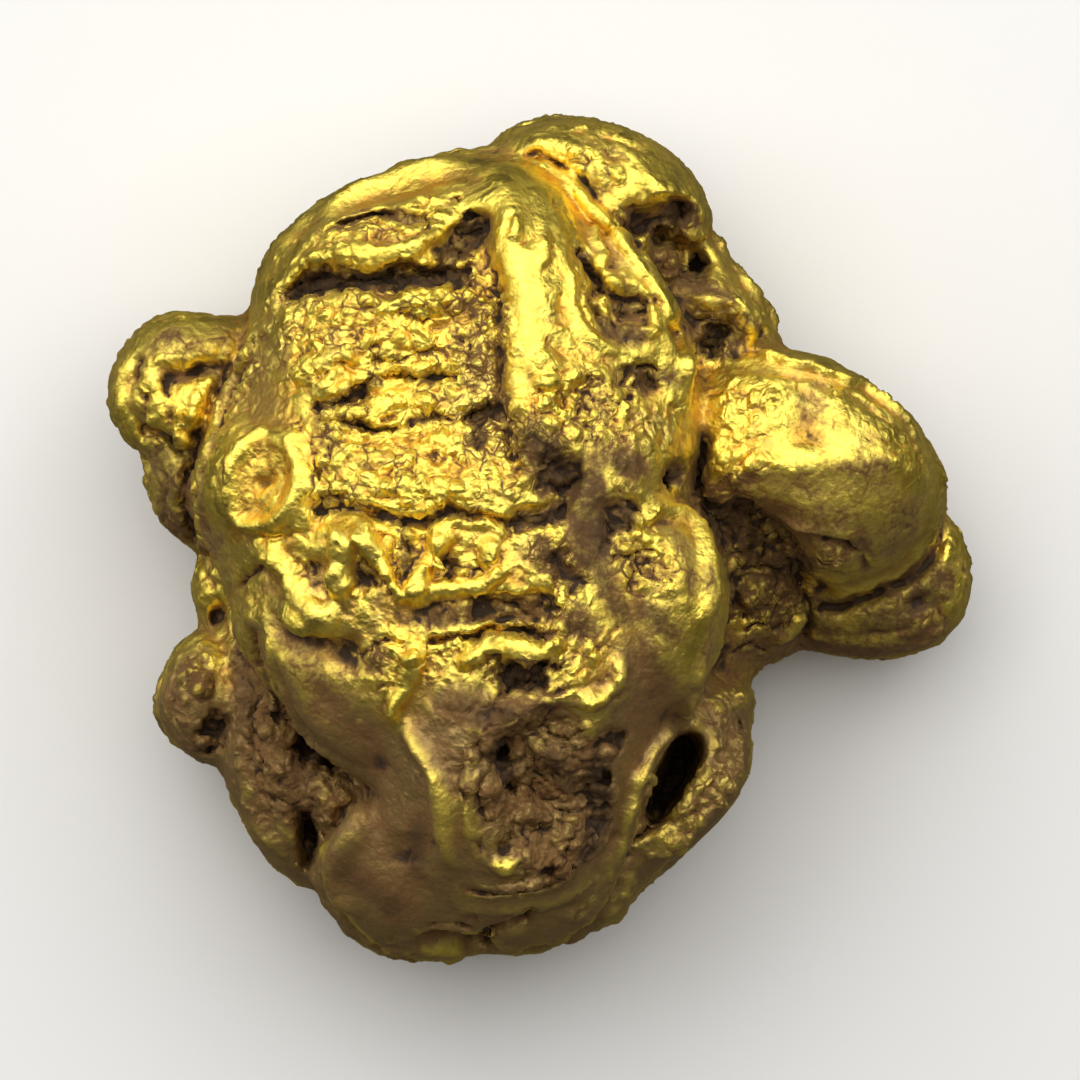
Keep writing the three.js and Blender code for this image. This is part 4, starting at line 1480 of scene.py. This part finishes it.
REGIONS: tuple[type[Region], ...] = (
    CrackedFace, Crest, MiddleFace, Flap, Foot, Loop, RightLobe, Cap, LeftSide, Flanks, PatinaAndPaintedLight,
)


# ---------------------------------------------------------------- the lump


def deselect() -> None:
    """Leaves nothing selected, in object mode."""
    bpy.ops.object.select_all(action="DESELECT")


def only(piece: bpy.types.Object) -> None:
    """Selects one object and makes it active.

    Args:
        piece: the object.
    """
    deselect()
    piece.select_set(True)
    bpy.context.view_layer.objects.active = piece


def modify(piece: bpy.types.Object, kind: str, **settings: Any) -> None:
    """Adds a modifier and applies it.

    Args:
        piece: the object.
        kind: the modifier's type.
        settings: its settings by name.
    """
    only(piece)
    modifier = piece.modifiers.new(kind.title(), kind)
    for name, value in settings.items():
        setattr(modifier, name, value)
    bpy.ops.object.modifier_apply(modifier=modifier.name)


def triangles(piece: bpy.types.Object) -> int:
    """How many triangles a piece's faces make."""
    return sum(len(face.vertices) - 2 for face in piece.data.polygons)


@dataclass
class Nugget:
    """The whole lump, one piece of native gold.

    Args:
        coarse: mesh size while the folds are worked, in mm.
        fine: mesh size while the marks and grain are worked, in mm.
        most_triangles: of the finished mesh.
        lumps: size and rise of the large and the small grains, in mm.
        tangle: how far the seams between grains wander, as a share of a grain.
        least_grain: grain of the metal where no stroke sets it, from 0 to 1.
        swelling: from one swelling of the worn metal to the next, in mm.
        swelling_height: of each swelling, in mm.
        furrow: from one furrow of the flanks to the next, in mm.
        furrow_depth: of each furrow, in mm.
        worm_depth: of the winding grooves between grains, in mm.
    """

    coarse: float = 0.17
    fine: float = 0.084
    most_triangles: int = 196000
    lumps: tuple[tuple[float, float], ...] = ((0.85, 0.13), (0.45, 0.09))
    tangle: float = 0.75
    least_grain: float = 0.34
    swelling: float = 2.2
    swelling_height: float = 0.06
    furrow: float = 3.2
    furrow_depth: float = 0.32
    worm_depth: float = 0.06

    def build(self) -> bpy.types.Object:
        """Makes the finished mesh.

        Returns:
            The piece, in metres, at the origin.
        """
        regions = [region() for region in REGIONS]
        piece = self.cast()
        self.even(piece, self.coarse, 6)
        self.strike(piece, [s for r in regions for s in r.folds()])
        self.even(piece, self.fine, 2)
        self.weather(piece)
        self.strike(piece, [s for r in regions for s in r.marks()])
        self.crumble(piece, regions)
        self.thin(piece)
        self.finish(piece, regions)
        return piece

    def cast(self) -> bpy.types.Object:
        """Copies the CAD solid, welds it and brings it to millimetres.

        Returns:
            The copy.
        """
        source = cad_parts[NODE]
        piece = source.copy()
        piece.data = source.data.copy()
        piece.parent = None
        for key in list(piece.keys()):
            del piece[key]
        bpy.context.scene.collection.objects.link(piece)
        piece.name = "gold_nugget"
        only(piece)
        bpy.ops.object.mode_set(mode="EDIT")
        bpy.ops.mesh.select_all(action="SELECT")
        bpy.ops.mesh.remove_doubles(threshold=1e-7)
        bpy.ops.transform.resize(value=(1 / MM,) * 3, center_override=(0, 0, 0))
        bpy.ops.object.mode_set(mode="OBJECT")
        return piece

    def even(self, piece: bpy.types.Object, size: float, passes: int) -> None:
        """Makes the mesh even again and takes off its steps.

        Args:
            piece: the lump.
            size: the new mesh size, in mm.
            passes: how often it is smoothed.
        """
        modify(piece, "REMESH", mode="VOXEL", voxel_size=size, adaptivity=0.0)
        modify(piece, "SMOOTH", factor=0.5, iterations=passes)
        LOG.info("even at %.3f mm: %d vertices", size, len(piece.data.vertices))

    def strike(self, piece: bpy.types.Object, strokes: Sequence[Stroke]) -> None:
        """Works a set of strokes into the lump.

        Args:
            piece: the lump.
            strokes: the passes.
        """
        bench = Bench.of(piece)
        bench.work(strokes)
        bench.put(piece)

    def weather(self, piece: bpy.types.Object) -> None:
        """Swells and furrows the metal all over, most where no path is drawn.

        Args:
            piece: the lump.
        """
        bench = Bench.of(piece)
        p = bench.points
        up = bench.normals[:, 2]
        side = smoothstep((0.55 - up) / 0.7)
        belly = 0.3 + 0.7 * smoothstep((0.1 - up) / 0.4)
        swell = Lattice(21).rough(p, self.swelling, 2) * self.swelling_height * (0.35 + 0.65 * side)
        bend = 0.5 * np.stack([Lattice(seed).smooth(p, 2.0) for seed in (34, 35, 36)], axis=1)
        fold = Lattice(33).smooth(p * np.array([1.0, 1.0, 0.7]) + bend, self.furrow)
        furrow = np.clip(1.0 - np.abs(fold) / 0.14, 0.0, 1.0) ** 1.4 * self.furrow_depth * side * belly
        bench.points = p + bench.normals * (swell - furrow)[:, None]
        bench.put(piece)

    def grit(self, bench: Bench, regions: Sequence[Region]) -> tuple[Points, Points]:
        """The grain of the metal: lumps of several sizes that meet in ragged seams.

        Args:
            bench: the lump's arrays.
            regions: the regions, for where their grain is.

        Returns:
            The grain's height in mm, and how deep in a seam each vertex is, from 0 to 1.
        """
        bench.dirty([s for r in regions for s in (*r.folds(), *r.marks(), *r.grain())])
        p = bench.points
        patch = 0.3 * Lattice(54).rough(p, 1.7, 2)
        rough = np.clip(bench.rough + patch + self.least_grain, 0.12, 1.0)
        bend = np.stack([Lattice(seed).rough(p, 0.5, 2) for seed in (61, 62, 63)], axis=1) * self.tangle
        height = np.zeros(len(p))
        seam = np.zeros(len(p))
        for seed, (size, rise) in enumerate(self.lumps):
            edge, lump = Lattice(51 + seed).cells(p + bend * size, size)
            open_up = smoothstep(edge / 0.34)
            height += open_up * lump * rise
            seam = np.maximum(seam, 1.0 - smoothstep(edge / 0.3))
        worms = np.abs(Lattice(58).rough(p, 0.9, 3))
        height -= np.clip(1.0 - worms / 0.12, 0.0, 1.0) * self.worm_depth
        seam = np.maximum(seam, np.clip(1.0 - worms / 0.1, 0.0, 1.0) * 0.8)
        return rough * height, seam * rough

    def crumble(self, piece: bpy.types.Object, regions: Sequence[Region]) -> None:
        """Raises grain where the metal is rough.

        Args:
            piece: the lump.
            regions: the regions, for where their grain is.
        """
        bench = Bench.of(piece)
        height, _ = self.grit(bench, regions)
        bench.points = bench.points + bench.normals * height[:, None]
        bench.put(piece)

    def thin(self, piece: bpy.types.Object) -> None:
        """Brings the mesh under its triangle limit.

        Args:
            piece: the lump.
        """
        count = triangles(piece)
        LOG.info("before thinning: %d triangles", count)
        if count > self.most_triangles:
            modify(piece, "DECIMATE", ratio=self.most_triangles / count, use_collapse_triangulate=True)

    def finish(self, piece: bpy.types.Object, regions: Sequence[Region]) -> None:
        """Flattens the base, records wear, grain, staining, dulling, painted shade and painted highlight on the
        mesh, and brings it to metres.

        Args:
            piece: the lump.
            regions: the regions, for their staining, painted light and grain.
        """
        bench = Bench.of(piece)
        bench.points[:, 2] = np.maximum(bench.points[:, 2], 0.0)
        _, seam = self.grit(bench, regions)
        self.record(piece, "seam", seam)
        hollowness = self.hollowness(piece, bench)
        self.record(piece, "hollow", hollowness)
        # dulled metal, with painted shade on steeply sloping sides and over the lower half
        self.record(piece, "tarnish_and_shade", self.tarnish_and_shade(piece, bench, hollowness))
        self.record(piece, "stain_and_painted_light", bench.stain_and_painted_light)
        self.record(piece, "grain", np.clip(bench.rough, -1.0, 1.0) * 0.5 + 0.5)
        bench.points *= MM
        bench.put(piece)
        only(piece)
        bpy.ops.object.shade_smooth()

    def relax(self, piece: bpy.types.Object, values: Points, passes: int) -> Points:
        """Averages what the vertices carry with their neighbours.

        Args:
            piece: the lump.
            values: one row for each vertex.
            passes: how often.

        Returns:
            The softened rows.
        """
        edges = np.zeros(len(piece.data.edges) * 2, int)
        piece.data.edges.foreach_get("vertices", edges)
        a, b = edges.reshape(-1, 2).T
        count = len(values)
        degree = np.maximum(np.bincount(edges, minlength=count), 1)
        soft = values.copy()
        for _ in range(passes):
            for axis in range(values.shape[1]):
                column = soft[:, axis]
                gathered = np.bincount(a, column[b], count) + np.bincount(b, column[a], count)
                soft[:, axis] = 0.3 * column + 0.7 * gathered / degree
        return soft

    def hollowness(self, piece: bpy.types.Object, bench: Bench) -> Points:
        """How far each vertex lies below its neighbourhood, at three sizes.

        Args:
            piece: the lump.
            bench: its arrays.

        Returns:
            About -1 on sharp ridges to 1 in deep cracks.
        """
        soft = bench.points
        total = np.zeros(len(soft))
        for passes, scale in ((3, 0.05), (11, 0.12), (46, 0.35)):
            soft = self.relax(piece, soft, passes)
            below = np.einsum("ij,ij->i", soft - bench.points, bench.normals)
            total += np.clip(below / scale, -1.0, 1.0)
        return total / 3.0

    def tarnish_and_shade(self, piece: bpy.types.Object, bench: Bench, hollowness: Points) -> Points:
        """How dulled and shaded the metal is: dulled in clouds and along the staining, with painted shade on
        steeply sloping sides turned from the key light and over the lower half.

        Args:
            piece: the lump.
            bench: its arrays.
            hollowness: how far each vertex lies below its neighbourhood.

        Returns:
            From 0, rubbed bright, to 1.
        """
        outward = self.relax(piece, bench.normals, 12)
        up = outward[:, 2]
        # painted shade: steeply sloping sides darker, less on those that face the key light at +Y
        steep_shade = smoothstep((0.8 - up) / 0.6) * (1.0 - 0.6 * smoothstep((0.25 - up) / 0.5))
        steep_shade = steep_shade * (1.0 - 0.6 * np.clip(outward[:, 1], 0.0, 1.0))
        # painted shade: darker over the lower half, towards -Y, away from the key light
        low = smoothstep((-1.6 - bench.points[:, 1]) / 4.0) * (0.15 + 0.85 * smoothstep((up + 0.1) / 0.5))
        cloud = Lattice(71).rough(bench.points, 2.2, 3)
        # kept bright: wear on ridges and burnished strokes, and a painted highlight along the ridges
        rubbed = 0.6 * np.maximum(-hollowness, 0.0) + 0.2 * np.clip(-bench.rough, 0.0, 1.0)
        return np.clip(0.6 * steep_shade + 0.95 * low + 0.45 * cloud + 0.75 * bench.stain_and_painted_light - rubbed, 0.0, 1.0)

    def record(self, piece: bpy.types.Object, name: str, values: Points) -> None:
        """Stores one number on each vertex.

        Args:
            piece: the lump.
            name: the attribute's name.
            values: the numbers.
        """
        attribute = piece.data.attributes.new(name, "FLOAT", "POINT")
        attribute.data.foreach_set("value", values.astype(np.float32))


# ---------------------------------------------------------------- finishes


@dataclass
class Socket:
    """A shader socket that adds a Math node for each operator used on it.

    Args:
        palette: adds the nodes.
        out: the node's output.
    """

    palette: Palette
    out: bpy.types.NodeSocket

    def _math(self, operation: str, a: Any, b: Any) -> Socket:
        """One Math node on two values, each a number or a Socket."""
        return self.palette.socket(self.palette.node("ShaderNodeMath", {"operation": operation}, {0: a, 1: b}))

    def __add__(self, other: Any) -> Socket:
        """Sum."""
        return self._math("ADD", self, other)

    __radd__ = __add__

    def __sub__(self, other: Any) -> Socket:
        """Difference."""
        return self._math("SUBTRACT", self, other)

    def __rsub__(self, other: Any) -> Socket:
        """Difference, reflected."""
        return self._math("SUBTRACT", other, self)

    def __mul__(self, other: Any) -> Socket:
        """Product."""
        return self._math("MULTIPLY", self, other)

    __rmul__ = __mul__

    def most(self, other: Any) -> Socket:
        """The larger of two."""
        return self._math("MAXIMUM", self, other)

    def least(self, other: Any) -> Socket:
        """The smaller of two."""
        return self._math("MINIMUM", self, other)

    def between(self, low: float, high: float) -> Socket:
        """0 at low, 1 at high, and eased.

        Args:
            low: where it is 0.
            high: where it is 1.

        Returns:
            The eased value.
        """
        eased = {"interpolation_type": "SMOOTHSTEP"}
        return self.palette.socket(
            self.palette.node("ShaderNodeMapRange", eased, Value=self, From_Min=low, From_Max=high)
        )


@dataclass
class Palette:
    """A material's node tree and the one way that nodes are added to it.

    Args:
        material: the material.
    """

    material: bpy.types.Material

    def __post_init__(self) -> None:
        """Empties the tree."""
        self.material.use_nodes = True
        self.tree = self.material.node_tree
        self.tree.nodes.clear()

    def node(
        self, kind: str, settings: dict[str, Any] | None = None, numbered: dict[int, Any] | None = None,
        **named: Any,
    ) -> bpy.types.Node:
        """Adds a node.

        Args:
            kind: its type.
            settings: its own settings, set first.
            numbered: what its sockets are given, by number, as values or Sockets.
            named: the same by name, with _ for a space.

        Returns:
            The node.
        """
        made = self.tree.nodes.new(kind)
        for name, value in (settings or {}).items():
            setattr(made, name, value)
        given = (numbered or {}) | {name.replace("_", " "): value for name, value in named.items()}
        for key, value in given.items():
            if isinstance(value, Socket):
                self.tree.links.new(value.out, made.inputs[key])
            else:
                made.inputs[key].default_value = value
        return made

    def socket(self, node: bpy.types.Node, output: str | int = 0) -> Socket:
        """One of a node's outputs as a Socket."""
        return Socket(self, node.outputs[output])

    def attribute(self, name: str) -> Socket:
        """A number stored on the mesh."""
        return self.socket(self.node("ShaderNodeAttribute", {"attribute_name": name}), "Fac")

    def bent(self, place: Socket, scale: float, amount: float) -> Socket:
        """Coordinates that wander.

        Args:
            place: the straight ones.
            scale: how many bends there are to a metre.
            amount: how far they wander, in metres.

        Returns:
            The bent ones.
        """
        drift = self.socket(self.node("ShaderNodeTexNoise", Vector=place, Scale=scale, Detail=2.0), "Color")
        reach = (amount, amount, amount)
        return self.socket(
            self.node("ShaderNodeVectorMath", {"operation": "MULTIPLY_ADD"}, {0: drift, 1: reach, 2: place})
        )

    def mix(self, share: Any, first: Any, second: Any) -> Socket:
        """A blend of two colours.

        Args:
            share: 0 for the first and 1 for the second.
            first: a colour or a Socket.
            second: a colour or a Socket.

        Returns:
            The colour.
        """
        blend = self.node("ShaderNodeMix", {"data_type": "RGBA"}, {0: share, 6: first, 7: second})
        return self.socket(blend, 2)

    def surface(self, shader: bpy.types.Node) -> bpy.types.Material:
        """Makes a shader the material's surface and returns the material."""
        self.node("ShaderNodeOutputMaterial", Surface=self.socket(shader))
        return self.material


Colour = tuple[float, float, float, float]


@dataclass(frozen=True)
class NativeGold:
    """Yellow native gold: burnished on the folds, grainy in the hollows, with brown iron staining in the
    cracks; its colour also holds painted shade, near black in the deepest cracks, deeper in the dips, and
    dulling the steeply sloping sides and the lower half.

    Args:
        bright: the metal where it is rubbed.
        deep: the metal in blotches, and painted shade in the dips.
        olive: its greener clouds.
        dull_and_shaded: the metal where nothing rubs it, and the painted shade on steeply sloping sides and
            over the lower half.
        rust: the iron staining.
        crack_shade: painted shade, near black, that fills the deepest cracks and hollows.
        burnished: roughness where it is rubbed.
        grainy: roughness of the grain.
        earthy: the most roughness anywhere.
        coarse_grains: how many there are to a metre, and so for the rest down to wander_scale.
        fine_grains: the small grains.
        clouds: the widest changes of tone.
        blotches: the smaller ones.
        specks: the finest.
        wander_scale: the bends of the seams between grains.
        wander: how far those seams are bent, in metres.
        bump_strength: of the finest relief.
        bump_depth: of the finest relief, in metres.
    """

    bright: Colour = (1.0, 0.8, 0.12, 1.0)
    deep: Colour = (0.78, 0.46, 0.07, 1.0)
    olive: Colour = (0.52, 0.4, 0.13, 1.0)
    dull_and_shaded: Colour = (0.27, 0.165, 0.06, 1.0)
    rust: Colour = (0.2, 0.1, 0.026, 1.0)
    crack_shade: Colour = (0.028, 0.017, 0.009, 1.0)
    burnished: float = 0.42
    grainy: float = 0.48
    earthy: float = 0.8
    coarse_grains: float = 2300.0
    fine_grains: float = 5200.0
    clouds: float = 300.0
    blotches: float = 1300.0
    specks: float = 6500.0
    wander_scale: float = 2400.0
    wander: float = 0.00022
    bump_strength: float = 0.6
    bump_depth: float = 0.0001

    def make(self) -> bpy.types.Material:
        """Builds the material.

        Returns:
            The material.
        """
        p = Palette(bpy.data.materials.new("native_gold"))
        place = p.socket(p.node("ShaderNodeTexCoord"), "Object")
        sunken, stain_and_painted_light, seam, tarnish_and_shade = (p.attribute(name) for name in ("hollow", "stain_and_painted_light", "seam", "tarnish_and_shade"))
        rough = p.attribute("grain").between(0.4, 0.9)
        cloud = self.noise(p, place, self.clouds)
        blotch = self.noise(p, place, self.blotches)
        speck = self.noise(p, place, self.specks)
        bent = p.bent(place, self.wander_scale, self.wander)
        coarse = self.edges(p, bent, self.coarse_grains)
        fine = self.edges(p, bent, self.fine_grains)
        grain = p.socket(p.node("ShaderNodeTexVoronoi", Vector=bent, Scale=self.coarse_grains), "Color")
        thread = (1.0 - coarse.between(0.0, 0.14)) * blotch.between(0.38, 0.56)
        thread = thread.most((1.0 - fine.between(0.0, 0.14)) * cloud.between(0.4, 0.6) * 0.6)
        # random changes of tone, and painted shade that deepens the colour in the dips
        tone = (cloud * 0.3 + blotch * 0.45 + grain * 0.25 + sunken * 0.6).between(0.35, 0.75)
        gold = p.mix(tone, self.bright, self.deep)
        gold = p.mix(speck.between(0.42, 0.62) * 0.4, gold, self.deep)
        gold = p.mix((cloud * 0.6 + blotch * 0.5).between(0.54, 0.74) * 0.5, gold, self.olive)
        # dulled metal, and painted shade on steeply sloping sides and over the lower half
        gold = p.mix(tarnish_and_shade * 0.95, gold, self.dull_and_shaded)
        # brown iron staining in cracks and hollows, darker still where the staining channel and the dulling
        # carry painted shade
        rusty = stain_and_painted_light * 0.76 + sunken.between(0.1, 0.75) * 0.52 + seam * 0.15 + (speck + blotch - 1.0) * 0.7
        rusty = (rusty + thread * (rough * 0.5 + 0.2) + tarnish_and_shade * 0.12).between(0.32, 1.0)
        colour = p.mix(rusty, gold, self.rust)
        # painted shade, near black, in the deepest cracks and hollows
        crack_shade_share = (stain_and_painted_light * 0.68 + sunken.between(0.2, 0.85) * 0.62 + seam * 0.2 - 0.44).between(0.0, 0.5)
        colour = p.mix(crack_shade_share * 0.9, colour, self.crack_shade)
        roughness = rough * (self.grainy - self.burnished) + self.burnished
        roughness = roughness + rusty * 0.25 + tarnish_and_shade * 0.1 + (grain - 0.5) * 0.2
        height = (coarse.between(0.0, 0.35) + fine.between(0.0, 0.4) * 0.2) * (rough * 0.75 + 0.2)
        height = height + blotch * 0.8 + speck * (0.55 - rough * 0.35)
        bump = p.node("ShaderNodeBump", Height=height, Strength=self.bump_strength, Distance=self.bump_depth)
        return p.surface(p.node(
            "ShaderNodeBsdfPrincipled", Base_Color=colour, Roughness=roughness.least(self.earthy),
            Metallic=1.0 - rusty * 0.3 - tarnish_and_shade * 0.3, Normal=p.socket(bump),
        ))

    def noise(self, p: Palette, place: Socket, scale: float) -> Socket:
        """A cloudy field.

        Args:
            p: the material's palette.
            place: where on the lump.
            scale: how many clouds there are to a metre.

        Returns:
            About 0.3 to 0.7.
        """
        noise = p.node("ShaderNodeTexNoise", Vector=place, Scale=scale, Detail=3.0, Roughness=0.6)
        return p.socket(noise, "Fac")

    def edges(self, p: Palette, place: Socket, scale: float) -> Socket:
        """How far it is to the nearest seam between grains.

        Args:
            p: the material's palette.
            place: where on the lump.
            scale: how many grains there are to a metre.

        Returns:
            The distance, as a share of a grain.
        """
        edge = {"feature": "DISTANCE_TO_EDGE"}
        return p.socket(p.node("ShaderNodeTexVoronoi", edge, Vector=place, Scale=scale), "Distance")


@dataclass(frozen=True)
class PaleFloor:
    """A plain pale matt table."""

    tint: Colour = (0.8, 0.79, 0.77, 1.0)
    roughness: float = 0.85

    def make(self) -> bpy.types.Material:
        """Builds the material."""
        p = Palette(bpy.data.materials.new("pale_floor"))
        return p.surface(p.node("ShaderNodeBsdfPrincipled", Base_Color=self.tint, Roughness=self.roughness))


# ---------------------------------------------------------------- the studio


@dataclass
class Studio:
    """The floor, the lights and the camera above the nugget.

    Args:
        view: how much of the floor the camera takes in, in metres.
        away: the camera's distance above the nugget's waist, in metres.
        sensor: the camera's width, in mm.
        floor_side: the floor's side, in metres.
        waist: height of the nugget's widest level, in metres.
        surround: the dim light from all round.
    """

    view: float = 0.027
    away: float = 0.6
    sensor: float = 36.0
    floor_side: float = 1.2
    waist: float = 0.0055
    surround: Colour = (0.07, 0.062, 0.053, 1.0)

    def floor(self) -> None:
        """Lays the floor that the nugget rests on."""
        deselect()
        bpy.ops.mesh.primitive_plane_add(size=self.floor_side, location=(0, 0, 0))
        floor = bpy.context.object
        floor.name = "floor"
        floor.data.materials.append(PaleFloor().make())
        floor.visible_glossy = False

    def softbox(
        self, name: str, azimuth: float, height: float, size: float, watts: float,
        away: float = 0.3, mirrored: bool = True,
    ) -> None:
        """Hangs a square light that faces the nugget.

        Args:
            name: its name.
            azimuth: degrees round from +Y towards +X.
            height: degrees above the horizon.
            size: its side, in metres.
            watts: its power.
            away: its distance, in metres.
            mirrored: whether the metal mirrors it.
        """
        turn, rise = math.radians(azimuth), math.radians(height)
        level = math.cos(rise)
        way = Vector((math.sin(turn) * level, math.cos(turn) * level, math.sin(rise)))
        deselect()
        bpy.ops.object.light_add(type="AREA", location=way * away)
        lamp = bpy.context.object
        lamp.name = name
        lamp.rotation_euler = way.to_track_quat("Z", "Y").to_euler()
        lamp.data.size = size
        lamp.data.energy = watts
        lamp.visible_glossy = mirrored

    def lights(self) -> None:
        """Hangs the lights and sets a dim surround."""
        self.softbox("key", 4.0, 60.0, 0.46, 1.32)
        self.softbox("key_left", -55.0, 42.0, 0.28, 0.3)
        self.softbox("left_low", -80.0, 12.0, 0.2, 0.12)
        self.softbox("key_right", 62.0, 34.0, 0.24, 0.18)
        self.softbox("back_low", -24.0, 14.0, 0.24, 0.13)
        self.softbox("front_low", 172.0, 10.0, 0.3, 0.025)
        self.softbox("floor_wash", 0.0, 90.0, 0.6, 0.1, 0.5, mirrored=False)
        world = bpy.data.worlds.new("surround")
        world.use_nodes = True
        world.node_tree.nodes["Background"].inputs[0].default_value = self.surround
        bpy.context.scene.world = world

    def camera(self) -> None:
        """Sets the camera straight above the nugget, with +Y up in the picture."""
        deselect()
        bpy.ops.object.camera_add(location=(0, 0, self.waist + self.away), rotation=(0, 0, 0))
        camera = bpy.context.object
        camera.data.sensor_width = self.sensor
        camera.data.lens = self.sensor * self.away / self.view
        camera.data.clip_start = 0.01
        camera.data.clip_end = 10.0
        bpy.context.scene.camera = camera

    def build(self) -> None:
        """Makes the whole studio."""
        self.camera()
        self.floor()
        self.lights()
        scene = bpy.context.scene
        scene.view_settings.view_transform = "Standard"
        scene.view_settings.look = "None"


def main() -> None:
    """Builds the nugget, then the studio, and reports the piece."""
    logging.basicConfig(level=logging.INFO, format="%(name)s: %(message)s")
    nugget = Nugget().build()
    nugget.data.materials.clear()
    nugget.data.materials.append(NativeGold().make())
    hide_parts(NODE)
    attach(nugget, "root")
    LOG.info("%s: %d triangles", nugget.name, triangles(nugget))
    Studio().build()


if __name__ == "__main__":
    main()
